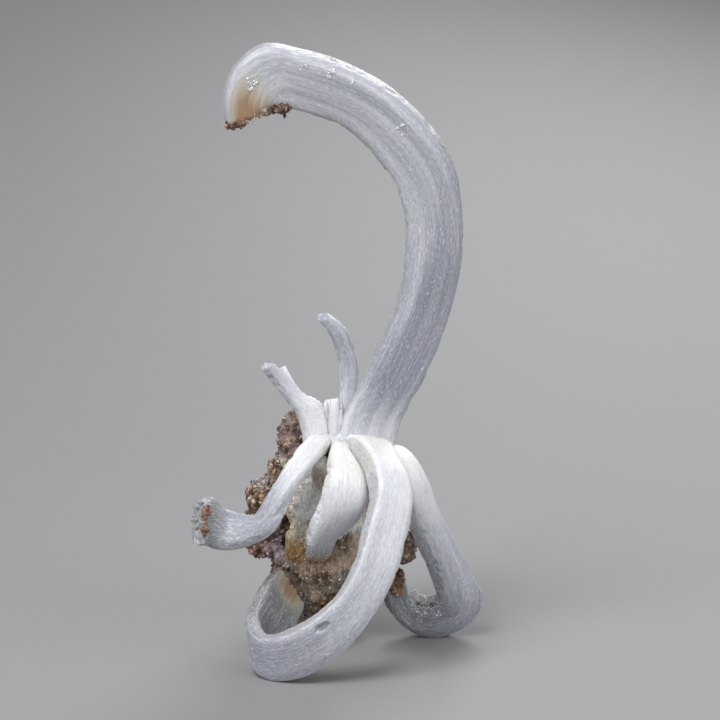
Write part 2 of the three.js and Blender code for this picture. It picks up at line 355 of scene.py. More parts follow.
# %% Chips and a pit
CHIP_WIDTH = 1.1 * MM
CHIP_STRETCH = (0.2, 3)  # a chip goes through the thin edge, and is longer along the fibres
CHIP_FROM, CHIP_TO = 0.48, 0.62  # of the noise: where a bite begins, and where it is full
PIT_REACH = 1.4 * MM
PIT_FLOOR = 0.55  # share of the reach that is flat
PIT_SQUEEZE = 0.55  # the pit is longer along the fibres than across them
PIT_FRAY = 2.5 * MM


def chip_places(g, at):
    stretched = g.joined(at.wide, g.times(at.deep, CHIP_STRETCH[0]), g.over(at.far, CHIP_STRETCH[1]))
    return g.vector("ADD", g.scaled(stretched, 1 / CHIP_WIDTH), at.shift)


def chips(g, ask, at):
    """How deep the thin edges are bitten."""
    bite = g.ramp(g.noise(chip_places(g, at), 0.6, detail=3.0, roughness=0.6), CHIP_FROM, CHIP_TO)
    return g.times(g.times(bite, at.thin), ask["Chip depth"])


def share_in_pit(g, ask, at):
    """1 in the pit and 0 outside it, with a frayed edge; it is at a place across and along the front face."""
    pit = g.xyz(ask["Pit"])
    along_pit = g.times(g.minus(at.far, pit["Y"]), PIT_SQUEEZE)
    from_pit = g.vector("LENGTH", g.joined(g.minus(at.wide, pit["X"]), along_pit, 0.0))
    frayed = g.times_plus(g.minus(g.noise(chip_places(g, at), 0.7), 0.5), PIT_FRAY, from_pit)
    on_front = g.times(g.above(pit["Z"], 0.0), g.above(at.y, 0.0))
    return g.times(g.ramp(frayed, PIT_REACH * PIT_FLOOR, PIT_REACH, 1.0, 0.0), on_front)


# %% Bend the tube
def bent(g, at, there, raised):
    """The section's points carried to their places on the curve, and raised or sunk at right angles."""
    across = g.vector("NORMALIZE", there["Value"])
    out = g.vector("NORMALIZE", g.vector("CROSS_PRODUCT", there["Tangent"], there["Value"]))
    slope = g.joined(g.over(at.slopes[0], at.half_width), g.over(at.slopes[1], at.half_depth), 0.0)
    lift = g.xyz(g.scaled(g.vector("NORMALIZE", slope), raised))
    side = g.plus(g.times(at.leaning, g.vector("LENGTH", there["Value"])), lift["X"])
    face = g.plus(g.times(at.y, at.stop_depth), lift["Y"])
    sideways = g.vector("ADD", there["Position"], g.scaled(across, side))
    return g.vector("ADD", sideways, g.scaled(out, face))


# %% What the material wants to know
ROOT_MILK = (8 * MM, 32 * MM, 0.65)  # milkiest up to here, no more from here on, and how much
EDGE_OF_RIDGE = (-0.25, 0.35)  # places across, counted from the ridge
THIN_MILK = 0.25
CLEAR_FADE = 0.16  # share of the length
CLEAR_SLOPES = (0.5, 0.12)  # the skin faces sideways where its slope is this small
CLEAR_PIT = 0.7
STAIN_MIDDLE = -0.1
STAIN_SIDES = (0.1, 0.95)
RIDGE_SPLIT = (0.05, 0.3)  # how near the ridge its fibres split, and how much
LEAST_SPLIT = 0.03


def milkiness(g, ask, at, off_ridge):
    beyond = g.ramp(off_ridge, *EDGE_OF_RIDGE, -0.5, 0.5)
    near_root = g.ramp(at.far, *ROOT_MILK, 0.0)
    down_length = g.plus(near_root, g.mix(at.along, ask["Root milk"], ask["Tip milk"]))
    down_length = g.times_plus(at.thin, THIN_MILK, down_length)
    # past the ridge the milk is raised or lowered; on the great horn this is painted shade on the outer facet
    return g.times_plus(beyond, ask["Edge milk and shade"], down_length)


def clearness_and_side_shade(g, ask, at, in_pit):
    at_end = g.ramp(at.along, ask["Clear from"], g.plus(ask["Clear from"], CLEAR_FADE))
    # the side faces are painted greyer: partly clear glass, partly painted shade where they turn from the
    # light
    shaded_clear_side = g.times(g.ramp(g.size(at.slopes[1]), *CLEAR_SLOPES), ask["Clear and shaded sides"])
    return g.most(g.most(at_end, shaded_clear_side), g.times(in_pit, CLEAR_PIT))


def iron_stain(g, ask, at):
    from_tip = g.over(g.minus(at.length, at.far), ask["Stain length"])
    from_middle = g.size(g.minus(at.x, STAIN_MIDDLE))
    one_sided = g.mix(ask["Stain side"], 1.0, g.ramp(from_middle, *STAIN_SIDES, 1.0, 0.0))
    wanted = g.times(g.above(ask["Stain length"], 0.0), one_sided)
    return g.times(g.ramp(from_tip, 0.0, 1.0, 1.0, 0.0), wanted)


def splitting(g, ask, at, off_ridge):
    """Where slivers split off: along the ridge and the thin edges."""
    near, much = RIDGE_SPLIT
    near_ridge = g.ramp(g.size(off_ridge), near, much, much, near)
    has_ridge = g.above(ask["Ridge height"], 0.0)
    return g.most(g.most(g.times(near_ridge, has_ridge), at.thin), LEAST_SPLIT)


# %% Slivers
SLIVER = (0.15 * MM, 0.1 * MM, 1.0 * MM)
SLIVER_LEAST, SLIVER_MOST = (0.4, 0.4, 0.3), (1.2, 1.2, 1.3)


def slivers_on(g, ask, skin):
    """Slivers of split fibre, lying along the growth."""
    density = g.times(g.read("split"), ask["Slivers per square metre"])
    points = g.points(skin, "RANDOM", Density=density)
    lie = g.get("FunctionNodeAlignRotationToVector", None, 1.0, g.read("growth", "FLOAT_VECTOR"), axis="Z")
    share = g.get("FunctionNodeRandomValue", SLIVER_LEAST, SLIVER_MOST, data_type="FLOAT_VECTOR")
    size = g.vector("MULTIPLY", share, SLIVER)
    shard = g.geo("MeshIcoSphere", 0.5, 1)
    slivers = g.geo("InstanceOnPoints", points, None, shard, None, None, lie, size)
    return g.write(g.geo("RealizeInstances", slivers), "fleck", 1.0)


# %% The horn tree
RIDGE_WANDERS = (0.15, 0.8)  # shares of the length between which the ridge crosses the face
FACE = (0.6, 1.0)  # the face ends, and the edge begins
CAP_POWER = 6.0  # end caps keep their middle smooth


def grow_horn_tree():
    g, ask, end = geometry_tree("grow_horn", HORN_INPUTS)
    length, sample = horn_curve(g, ask["Geometry"])
    at = places_on_tube(g, ask, length, sample)
    stop = splintered_end(g, ask, at)
    there = sample("across", "FLOAT_VECTOR", stop)
    at.stop_depth = sample("half_depth", "FLOAT", stop)["Value"]

    # a ridge down the face: the skin falls away on both sides of it
    off_ridge = g.minus(at.x, g.ramp(at.along, *RIDGE_WANDERS, ask["Root ridge"], ask["Tip ridge"]))
    fall = g.times(g.size(off_ridge), ask["Ridge height"])
    on_face = g.ramp(g.size(at.x), *FACE, 1.0, 0.0)

    in_pit = share_in_pit(g, ask, at)
    hurt = g.times_plus(in_pit, g.xyz(ask["Pit"])["Z"], chips(g, ask, at))
    lowered = g.minus(g.minus(fibre_relief(g, ask, at), g.times(fall, on_face)), hurt)
    spot = bent(g, at, there, g.times(lowered, g.power(at.share, CAP_POWER)))

    # these are written on the straight tube, before it is bent
    told = g.write(at.tube, "fibre", g.joined(at.wide, at.deep, at.far), "FLOAT_VECTOR")
    told = g.write(told, "milk", milkiness(g, ask, at, off_ridge))
    told = g.write(told, "clear", clearness_and_side_shade(g, ask, at, in_pit))
    told = g.write(told, "stain", iron_stain(g, ask, at))
    told = g.write(told, "growth", there["Tangent"], "FLOAT_VECTOR")
    told = g.write(told, "split", splitting(g, ask, at, off_ridge))
    skin = g.geo("SetShadeSmooth", g.geo("SetPosition", told, None, spot))
    finish_tree(g, ask, g.join(slivers_on(g, ask, skin), skin), end)
    return g.tree


HORN_TREE = grow_horn_tree()
print("horn tree:", len(HORN_TREE.nodes), "nodes,", sum(map(len, HORN_INPUTS.values())), "named inputs")

# %% [markdown]
# ## Selenite
# Satin selenite is milky and a little lavender where it is thick. Light sinks in between the fibres and
# comes out again near by, which is subsurface scattering. The streaks are noise in the "fibre" directions,
# so they run with the growth; each has its own shade, gloss and a little height. Small white flecks are
# places where a fibre has split and shows its pearly side; the white spots painted among them are partly
# painted glints. The fine grain's white specks are partly painted glints too, and its grey specks painted
# shade between the grains. The side faces and the great horn's outer facet carry painted shade as well.
# Where a horn touched the rock, iron has stained it orange.


# %% Colours of the gypsum
def tone(red, green, blue):
    """A colour in screen values from 0 to 255, as the linear values that Blender mixes."""
    linear = [(v / 255 + 0.055) / 1.055 for v in (red, green, blue)]
    return tuple(v ** 2.4 for v in linear) + (1.0,)


MILK_WHITE = tone(226, 227, 232)
LAVENDER = tone(146, 148, 163)
CREAM_WHITE = tone(240, 240, 235)
# the grey of clear gypsum, made darker as painted shade for clear ends that lie in shadow
CLEAR_AND_SHADED_GREY = tone(124, 128, 127)
FLECK_WHITE = tone(250, 250, 250)
FROST_SHADE = tone(238, 239, 240)
GROOVE_GREY = tone(124, 126, 140)
IRON_ORANGE = tone(170, 130, 94)
PALE_YELLOW = tone(212, 204, 176)
GYPSUM_IOR = 1.52


# %% Reading attributes, and filling in the shader
def shader_graph(name):
    material = bpy.data.materials.new(name)
    material.use_nodes = True
    shader = material.node_tree.nodes["Principled BSDF"]
    return material, Graph(material.node_tree), shader


def attribute(g, name):
    return g.node("ShaderNodeAttribute", attribute_name=name, attribute_type="GEOMETRY").outputs


def object_place(g):
    return g.node("ShaderNodeTexCoord").outputs["Object"]


def fill_shader(g, shader, colour, roughness, fixed):
    """Plugs in what varies over the surface; what is the same all over is set on the shader's own sockets."""
    g.plug(shader.inputs["Base Color"], colour)
    g.plug(shader.inputs["Roughness"], roughness)
    for label, value in fixed.items():
        shader.inputs[label].default_value = value


def glow(weight, radius, reach):
    """Light that comes out again near by: how much, how far for red, green and blue, and that reach in mm."""
    return {"Subsurface Weight": weight, "Subsurface Radius": radius, "Subsurface Scale": reach * MM}


def add_bump(g, shader, height, strength, depth):
    """A bump of this depth in mm."""
    bump = g.node("ShaderNodeBump", strength, depth * MM)
    g.plug(bump.inputs["Height"], height)
    g.plug(shader.inputs["Normal"], bump.outputs["Normal"])


def long_noise(g, place, width, stretch, detail=2.0):
    """Noise whose spots are this wide in mm, and stretch times as long in the third direction."""
    squeezed = g.vector("MULTIPLY", place, (1 / (width * MM), 1 / (width * MM), 1 / (width * MM * stretch)))
    return g.noise(squeezed, detail=detail)


def fixed_noise(g, size, detail=2.0, roughness=0.5):
    """Noise fixed to the object, with spots of this size in mm."""
    return g.noise(object_place(g), 1 / (size * MM), detail, roughness)


# %% Body of the selenite
CLOUD_STRENGTH = 0.7
CREAM_MILK = (1.0, 1.5)  # milkiness at which white turns creamy
GLASS_SHARE = 0.85
# of the noise: where a line or grain begins, where it is full, and its least and most share
LIGHT_LINES, DARK_LINES = (0.6, 0.85), (0.64, 0.42)
LIGHT_GRAIN, DARK_GRAIN = (0.5, 0.7, 0.0, 0.32), (0.5, 0.3, 0.0, 0.25)
YELLOW_STAIN = (0.0, 0.5, 0.0, 0.55)
STAIN_PATCHES, STAIN_EDGE, STAIN_SHARE = 0.9, (0.72, 1.4), 0.85


def selenite_body(g, milk, clear, broad):
    """Milky or lavender, creamy near the root, glassier and greyer where clear, partly as painted shade."""
    cloud = g.ramp(g.times_plus(g.minus(broad, 0.5), CLOUD_STRENGTH, milk), 0.0, 1.0)
    milky = g.blend(cloud, LAVENDER, MILK_WHITE)
    creamy = g.blend(g.ramp(milk, *CREAM_MILK), milky, CREAM_WHITE)
    return g.blend(g.times(clear, GLASS_SHARE), creamy, CLEAR_AND_SHADED_GREY)


def lined_and_grained(g, body, lines, seen_lines, grain):
    light_lines, dark_lines = g.ramp(lines, *LIGHT_LINES), g.ramp(lines, *DARK_LINES)
    lit = g.blend(g.times(light_lines, seen_lines), body, FLECK_WHITE)
    lined = g.blend(g.times(dark_lines, seen_lines), lit, GROOVE_GREY)
    # white specks of the fine grain are partly painted glints, and grey specks painted shade between grains
    frosted = g.blend(g.ramp(grain, *LIGHT_GRAIN), lined, FLECK_WHITE)
    return g.blend(g.ramp(grain, *DARK_GRAIN), frosted, GROOVE_GREY)


def stained_by_iron(g, colour, stain, bundles):
    yellowed = g.blend(g.ramp(stain, *YELLOW_STAIN), colour, PALE_YELLOW)
    patchy = g.ramp(g.times_plus(bundles, STAIN_PATCHES, stain), *STAIN_EDGE)
    return g.blend(g.times(patchy, STAIN_SHARE), yellowed, IRON_ORANGE)


# %% Selenite material
FIBRE_NOISES = {  # width in mm, and how many times as long
    "broad": (3.6, 20),
    "bundles": (1.1, 60),
    "streaks": (0.33, 90),
    "hairs": (0.17, 60),
    "grain": (0.26, 5),
}
SPLIT_GLINT_SPOTS, SPLIT_GLINT_EDGE, SPLIT_GLINT_SHARE = (0.38, 4, 1.0), (0.68, 0.74), 0.6
MILKY_LINES = (0.1, 1.0, 0.2, 0.14)  # lines show a little less where it is milky
CLEAR_LINES = 0.28
SATIN_ROUGHNESS, STREAK_SHINE = 0.58, -0.3
SATIN = {"IOR": GYPSUM_IOR, "Sheen Weight": 0.15, **glow(weight=0.6, radius=(1.0, 0.95, 1.0), reach=2.4)}


def selenite_material():
    material, g, shader = shader_graph("selenite")
    fibre = attribute(g, "fibre")["Vector"]
    milk, clear, stain, fleck = (attribute(g, name)["Fac"] for name in ("milk", "clear", "stain", "fleck"))
    broad, bundles, streaks, hairs, grain = (long_noise(g, fibre, *size) for size in FIBRE_NOISES.values())
    body = selenite_body(g, milk, clear, broad)
    lines = g.times_plus(bundles, 0.25, streaks)
    seen_lines = g.most(g.ramp(milk, *MILKY_LINES), g.times(clear, CLEAR_LINES))
    grained = lined_and_grained(g, body, lines, seen_lines, grain)
    # white spots of split fibre, which are also painted glints
    split = g.times(g.ramp(long_noise(g, fibre, *SPLIT_GLINT_SPOTS), *SPLIT_GLINT_EDGE), SPLIT_GLINT_SHARE)
    flecked = g.blend(g.most(split, fleck), grained, FLECK_WHITE)
    stained = stained_by_iron(g, flecked, stain, bundles)
    roughness = g.times_plus(streaks, STREAK_SHINE, SATIN_ROUGHNESS)
    fill_shader(g, shader, stained, roughness, SATIN)
    ribs = g.times_plus(hairs, 0.5, g.times_plus(bundles, 0.3, streaks))
    add_bump(g, shader, g.plus(grain, ribs), strength=0.4, depth=0.14)
    return material


SELENITE = selenite_material()
print("selenite material:", len(SELENITE.node_tree.nodes), "nodes")


# %% [markdown]
# ## From stations to a piece
# `grow_horn` turns the list of stations into a bare line of points that carry two values each, the half
# step from edge A to edge B and half the thickness, and hands it to the tree.


# %% Stations to a line
def set_attribute(mesh, name, kind, field, values):
    if name in mesh.attributes:
        mesh.attributes.remove(mesh.attributes[name])
    mesh.attributes.new(name, kind, "POINT").data.foreach_set(field, values.ravel())


def station_line(name, stations):
    table = np.array(stations, float) * MM
    edge_a, edge_b, thickness = table[:, 0:3], table[:, 3:6], table[:, 6]
    line = bpy.data.meshes.new(name)
    line.from_pydata((edge_a + edge_b) / 2, [(i, i + 1) for i in range(len(table) - 1)], [])
    set_attribute(line, "across", "FLOAT_VECTOR", "vector", (edge_b - edge_a) / 2)
    set_attribute(line, "half_depth", "FLOAT", "value", thickness / 2)
    return line


def solid_corners(node):
    low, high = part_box(node)
    return {"Low corner": Vector(low), "High corner": Vector(high)}


# %% Grow one horn
SEED_STEP = 7.3  # moves the noise of one horn away from the next one's


def grow_horn(name, node, stations, mesh, boxiness=0.7, crest=(0, 0), relief=0.15, chip=0.6, ragged=1.0,
              ridge=(0, 0, 0), milk=(0.5, 0.5), edge_milk_and_shade=0, clear=(2, 0), stain=(0, 0), pit=(0, 0, 0),
              slivers=0.5, seed=0):
    """mesh is (rings, faces round, rings on a cap). ridge is (height in mm, place across at the root, at the
    tip); clear is (from this share on, on the sides: partly painted shade); stain is (length in mm, how
    much it keeps to one side); pit is (across, along, depth in mm); slivers are per square mm."""
    piece = add_piece(name, station_line(name, stations))
    run_tree(piece, HORN_TREE, {
        "Rings": mesh[0], "Sides": mesh[1], "Cap rings": mesh[2],
        "Boxiness": boxiness, "Root crest": crest[0], "Tip crest": crest[1], "Bundle relief": relief * MM,
        "Ridge height": ridge[0] * MM, "Root ridge": ridge[1], "Tip ridge": ridge[2],
        "Chip depth": chip * MM, "Ragged": ragged * MM, "Pit": Vector(pit) * MM,
        "Root milk": milk[0], "Tip milk": milk[1], "Edge milk and shade": edge_milk_and_shade,
        "Clear from": clear[0], "Clear and shaded sides": clear[1],
        "Stain length": stain[0] * MM, "Stain side": stain[1],
        "Slivers per square metre": slivers * PER_SQUARE_MM, "Seed": seed * SEED_STEP,
        "Finish": SELENITE, **solid_corners(node),
    })
    return finished(piece, node, "selenite")


# %% [markdown]
# ## The great horn
# The tallest horn leaves the rock straight up, swings out to the right and hooks over to the left. Near its
# tip the fibres fan out round the inner corner, so the last stations turn about edge A while edge B sweeps
# round. Its outer half is the thick, lavender one, and past the ridge it is painted a little darker:
# painted shade on the facet turned away from the light.

# %% Great horn
GREAT_HORN = [
    (-3, 6, 54, 14, 9, 54, 12),
    (-0.4, 6, 68, 17.6, 8, 67.5, 12),
    (6, 6, 79.5, 20, 7, 72.5, 12),
    (9, 5, 86.5, 24, 6, 80, 12),
    (13, 4, 95.5, 29, 5, 92, 12),
    (16.5, 3, 105, 32.5, 4, 103.5, 12),
    (18.5, 1, 118, 35, 2, 117, 12),
    (18.5, 0, 128, 35, 0, 130, 11.5),
    (16, -1, 137, 32.5, -2, 143.5, 11.5),
    (11, -2, 145, 25.5, -4, 155, 11.5),
    (3.5, -3, 153, 14.3, -6, 165.5, 11.5),
    (-4, -4, 157, 1.5, -8, 172.3, 11),
    (-10.5, -5, 159, -10.5, -9, 176, 11),
    (-12.8, -6, 159.5, -20.5, -10, 177.8, 10.5),
    (-13.6, -6.5, 159.8, -28.5, -10.5, 172.5, 10),
    (-14, -6.5, 160.4, -32.3, -10, 163.5, 9),
    (-14.1, -6, 160.9, -31.5, -9, 155.5, 8),
]
# its outer facet is painted less milky, as painted shade, and its sides greyer, partly as painted shade
great_horn = grow_horn(
    "great_horn_fibres", "great_horn", GREAT_HORN, mesh=(300, 230, 18), boxiness=0.72, crest=(-0.25, 0.48),
    ridge=(0.9, -0.8, 0.5), milk=(0.05, 0.55), edge_milk_and_shade=-0.15, clear=(2, 0.7), stain=(13, 1), slivers=0.35,
    relief=0.2, chip=0.45, ragged=0.5, seed=1,
)

# %% [markdown]
# ## The front loop
# The boldest ribbon arches forward, hangs down, swings to the left just above the ground and turns back up
# into the rock. It is squarer than the others, with two clean side faces.

# %% Front loop
FRONT_LOOP = [
    (0.5, 0, 60, 12.5, 4, 58.5, 8),
    (3, -6, 63, 14.5, 0, 59.5, 8),
    (6.8, -14, 61, 16.2, -7.5, 57.2, 7.5),
    (8.8, -20.5, 57, 19, -15, 53, 7.5),
    (9, -23.5, 51, 19.8, -19, 47.5, 7),
    (6.8, -26.5, 43.8, 18, -22.8, 40, 6.5),
    (4.3, -29, 35, 15.6, -26, 31.5, 6.5),
    (-0.2, -30.5, 26.5, 11, -28.5, 22.7, 6.5),
    (-7, -31.5, 20.2, 3, -30.5, 12, 6),
    (-13.5, -30.5, 16.2, -8, -29.5, 3.2, 6),
    (-19, -27, 13.2, -18, -26.5, 0, 5.5),
    (-23.3, -22.5, 12.8, -23.3, -21.5, 1.5, 5),
    (-25.3, -17.5, 16, -22, -13.5, 3.5, 5),
    (-24, -14, 20.5, -16.5, -8, 5.5, 4.5),
    (-21, -11, 25, -13, -5, 10.5, 4),
    (-17, -9, 28.5, -10.5, -4, 16.5, 3.5),
]
# its side faces are painted greyer, partly as painted shade
grow_horn(
    "front_loop_fibres", "front_loop", FRONT_LOOP, mesh=(330, 200, 12), boxiness=0.42, milk=(0.95, 0),
    clear=(0.72, 0.5), stain=(9, 0.75), relief=0.12, ragged=1.6, chip=0.4, pit=(-3.5, 69.5, 0.7), seed=2,
)

# %% [markdown]
# ## The right loop
# A narrower ribbon falls away to the right, touches the ground and curls back up to the rock.

# %% Right loop
RIGHT_LOOP = [
    (8, 6, 55, 13, 11, 56.5, 8),
    (13, 0, 54.5, 19, 8, 57.4, 8),
    (17.5, -3, 49, 23.2, 6, 51.3, 8),
    (20.5, -1, 40.5, 27.5, 7, 40.5, 8),
    (24.1, 1, 31.5, 32.5, 10, 30.5, 8),
    (27.2, 4, 23, 37, 12, 22.5, 8),
    (29, 7, 15, 42.1, 14, 13.2, 8),
    (28.5, 10, 12, 39.5, 14.5, 5.5, 8),
    (26, 12, 10.5, 30, 14, 0, 7.5),
    (22.5, 13, 10.5, 21.5, 13, 1.5, 7),
    (20, 13, 12.5, 15, 11.5, 7.5, 6.5),
    (19, 12, 17.5, 13, 10, 14, 6),
    (17.5, 11, 21, 13.5, 9, 20.5, 5),
]
right_loop = grow_horn(
    "right_loop_fibres", "right_loop", RIGHT_LOOP, mesh=(280, 180, 12), boxiness=0.6, crest=(0.2, -0.2),
    milk=(0.8, -0.2), clear=(0.68, 0), stain=(6, 0), chip=0.9, seed=3,
)

# %% [markdown]
# ## The left curl
# A thin ribbon drops to the left and flicks up at its end, where it broke off and shows a frosted face.

# %% Left curl
LEFT_CURL = [
    (-7.5, 1.5, 62.5, -2.5, 1.5, 61.5, 6),
    (-10.5, -8, 64.5, -4.5, -9, 62, 6),
    (-15, -13, 60, -8.5, -14, 58, 5.5),
    (-18.5, -15, 54, -13, -18, 52.5, 5),
    (-21.5, -15, 48, -16, -20, 47.5, 5),
    (-24, -13, 44, -19.5, -21, 42.5, 5),
    (-28, -11, 44, -25, -20, 38.1, 5),
    (-33, -10, 45.5, -31.5, -18, 35.6, 5),
    (-37.2, -11, 49.3, -37.2, -17.5, 36.1, 5.5),
    (-40.5, -15.5, 49.2, -40.5, -21, 38, 5.7),
]
left_curl = grow_horn(
    "left_curl_fibres", "left_curl", LEFT_CURL, mesh=(230, 150, 14), boxiness=0.6, milk=(0.6, 0.05),
    clear=(0.75, 0), ragged=1.4, slivers=0.2, seed=4,
)

# %% [markdown]
# ## The middle horn
# The shortest of the drooping horns is a thick, creamy tongue that hangs in front of the stained gypsum.

# %% Middle horn
MIDDLE_HORN = [
    (-3, -1, 60, 1, 0, 60, 7),
    (-3.5, -9, 60.5, 2.5, -8, 59.5, 9),
    (-4, -17, 57, 6.5, -15, 55.5, 9.5),
    (-5, -19, 52.5, 7.5, -17, 50.5, 9.5),
    (-6.5, -18, 46.5, 5, -15, 45.5, 9),
    (-9, -14, 40, -0.5, -11, 39.5, 8),
    (-10.5, -9.5, 34, -2.5, -7.5, 33.5, 6.5),
    (-11, -6.5, 29.5, -4, -4.5, 28.5, 3.5),
]
middle_horn = grow_horn(
    "middle_horn_fibres", "middle_horn", MIDDLE_HORN, mesh=(150, 170, 14), crest=(0.1, 0), milk=(1, 0.65),
    clear=(0.76, 0), stain=(8, 0), relief=0.25, chip=1.0, ragged=2.5, seed=5,
)

# %% [markdown]
# ## The small upright horns
# Three short horns stand beside the great one: a curved one with a broken stub at its foot, and a forked one
# that leans to the left. A stub or a prong is a second, smaller horn that starts inside the first.

# %% Upright and forked horns
UPRIGHT_HORN = [
    (-4, 8, 60, 6.5, 9, 60, 6.5),
    (-0.3, 8, 74, 5, 9, 74.5, 5.5),
    (-0.3, 8, 82.5, 5.2, 9, 83, 5.5),
    (-1.5, 7.5, 89, 3.7, 9, 90, 5),
    (-3.8, 7, 94.5, 1.8, 8, 95, 5),
    (-6, 6.5, 97.5, -1.5, 7, 98.5, 4.5),
    (-7.2, 6, 99.5, -5, 6, 100.7, 3.5),
]
STUB = [
    (-5.5, 4.5, 60, 0.5, 5.5, 60, 5.5),
    (-4.9, 4.5, 70.5, -0.1, 5.5, 70.5, 5),
    (-4, 5, 76.3, -1, 6, 75.8, 4),
]
FORKED_HORN = [
    (-9.8, 1.5, 56, -3, 3.5, 56, 7),
    (-11.8, 1, 69, -5.2, 4, 72.5, 6),
    (-14.5, 0, 74, -10.5, 3, 76.5, 5),
    (-19, -1, 80.5, -15.5, 2, 82, 4.5),
    (-23.2, -2, 86.2, -20.7, 0, 87.5, 4),
]
FORK_PRONG = [
    (-11, 4, 69, -7, 5, 71.5, 4),
    (-13, 4, 73.5, -10.5, 5, 75.5, 4),
    (-16, 4, 79.5, -14, 5, 80.5, 3.5),
    (-18, 4, 85, -16.7, 5, 85.5, 3),
]
grow_horn(
    "upright_horn_fibres", "upright_horn", UPRIGHT_HORN, mesh=(170, 100, 10), boxiness=0.75,
    crest=(-0.3, -0.3), milk=(0.1, 0.3), ragged=2.2, chip=0.8, seed=6,
)
grow_horn(
    "upright_stub_fibres", "upright_horn", STUB, mesh=(60, 90, 9), boxiness=0.8, milk=(0.4, 0.5), ragged=2.2,
    chip=1.0, seed=7,
)
forked_horn = grow_horn(
    "forked_horn_fibres", "forked_horn", FORKED_HORN, mesh=(120, 100, 10), milk=(0.4, 0.4), ragged=2, seed=8,
)
grow_horn(
    "forked_prong_fibres", "forked_horn", FORK_PRONG, mesh=(70, 70, 9), boxiness=0.75, milk=(0.5, 0.35),
    ragged=1.3, seed=9,
)

# %% [markdown]
# ## Rock and stained gypsum
# The rock is a heap of sugary grains, each a millimetre or so across. Its body is a few knobbly balls, fused
# by a voxel remesh into one skin. Modelling every grain by hand would take days, so Geometry Nodes does it:
# the skin is roughened, then points are scattered over it no closer than a grain's width, and each carries a
# small angular crystal with a turn, a size and a number of its own.


# %% Balls fused into a lump
LUMP_RELIEF = 0.09  # share of a ball's radius that its surface rises and falls by


def ripple(a, b, c):
    """A repeatable ripple between -1 and 1, made of three waves that never line up."""
    first = math.sin(1.7 * a + 2.3 * b + 0.4)
    second = math.sin(2.9 * b - 1.3 * c + 1.1)
    third = math.sin(2.1 * c + 1.9 * a + 2.6)
    return (first + second + third) / 3


def knobbly_balls(name, lumps):
    heap = bmesh.new()
    for x, y, z, rx, ry, rz in lumps:
        for vert in bmesh.ops.create_icosphere(heap, subdivisions=4, radius=1.0)["verts"]:
            u, v, w = vert.co
            large = ripple(3 * u + x, 3 * v + y, 3 * w + z)
            knob = 1 + LUMP_RELIEF * (large + ripple(7 * u - z, 7 * v + x, 7 * w))
            vert.co = Vector((x + u * rx * knob, y + v * ry * knob, z + w * rz * knob)) * MM
    mesh = bpy.data.meshes.new(name)
    heap.to_mesh(mesh)
    heap.free()
    return mesh


def fused_lumps(name, lumps, voxel, creases=0):
    """Knobbly balls, (centre x, y, z, radius x, y, z) in mm, as one closed mesh with faces this small in mm;
    its creases are smoothed this many times."""
    piece = add_piece(name, knobbly_balls(name, lumps))
    fuse = piece.modifiers.new("fuse", "REMESH")
    fuse.mode = "VOXEL"
    fuse.voxel_size = voxel * MM
    melt = piece.modifiers.new("melt", "SMOOTH")
    melt.factor = 0.5
    melt.iterations = creases
    bake_modifiers(piece)
    return piece


# %% What a sugar coat can be asked for
SUGAR_INPUTS = {
    "Bool": ("Keep the skin",),
    "Float": (
        "Knob size", "Knob height", "Clump height", "Sink", "Grain", "Spacing", "Fine grain",
        "Fine per square metre", "Gap shade",
    ),
    "Vector": ("Low corner", "High corner"),
    "Int": ("Seed",),
    "Material": ("Finish",),
}


# %% Skin and crystals
FULL_TURN = (6.28, 6.28, 6.28)
CRYSTAL_LEAST, CRYSTAL_MOST = (0.35, 0.35, 0.35), (1.3, 1.3, 1.3)
SWELL_PACE, ROUGH_PACE = 0.35, 2.0  # beside the knobs, which repeat once in a knob's size
SWELL_STRENGTH = 2.0
KNOB_RIM = 0.45  # distance from a knob's middle where it is neither raised nor sunk, in knob sizes


def risen_skin(g, ask):
    """The skin with slow swells, knobs with creases between them, and a little roughness."""
    knobs = g.scaled(g.geo("InputPosition"), g.over(1.0, ask["Knob size"]))
    swell = g.minus(g.noise(knobs, SWELL_PACE), 0.5)
    rough = g.minus(g.noise(knobs, ROUGH_PACE, detail=3.0, roughness=0.6), 0.5)
    far_from_middle = g.node("ShaderNodeTexVoronoi", knobs, 1.0).outputs["Distance"]
    clump = g.times(g.minus(KNOB_RIM, far_from_middle), ask["Clump height"])
    slow = g.times(g.times_plus(swell, SWELL_STRENGTH, rough), ask["Knob height"])
    rise = g.minus(g.plus(slow, clump), ask["Sink"])
    offset = g.scaled(g.geo("InputNormal"), rise)
    return g.geo("SetPosition", ask["Geometry"], None, None, offset)


def crystals_on(g, points, grain, seed, crystal):
    """A crystal on each point, with its own turn, shape and number."""

    def dice(low, high, kind):
        return g.get("FunctionNodeRandomValue", low, high, None, seed, data_type=kind)

    told = g.write(points, "number", dice(0.0, 1.0, "FLOAT"))
    turn = g.get("FunctionNodeEulerToRotation", dice((0, 0, 0), FULL_TURN, "FLOAT_VECTOR"))
    size = g.scaled(dice(CRYSTAL_LEAST, CRYSTAL_MOST, "FLOAT_VECTOR"), grain)
    set_out = g.geo("InstanceOnPoints", told, None, crystal, None, None, turn, size)
    return g.geo("RealizeInstances", set_out)


# %% The sugar tree
MOST_COARSE = 4 * PER_SQUARE_MM  # more than fit, so that only the spacing counts
FINE_OUTSIDE = 0.25  # fine grains reach a little past the coarse ones


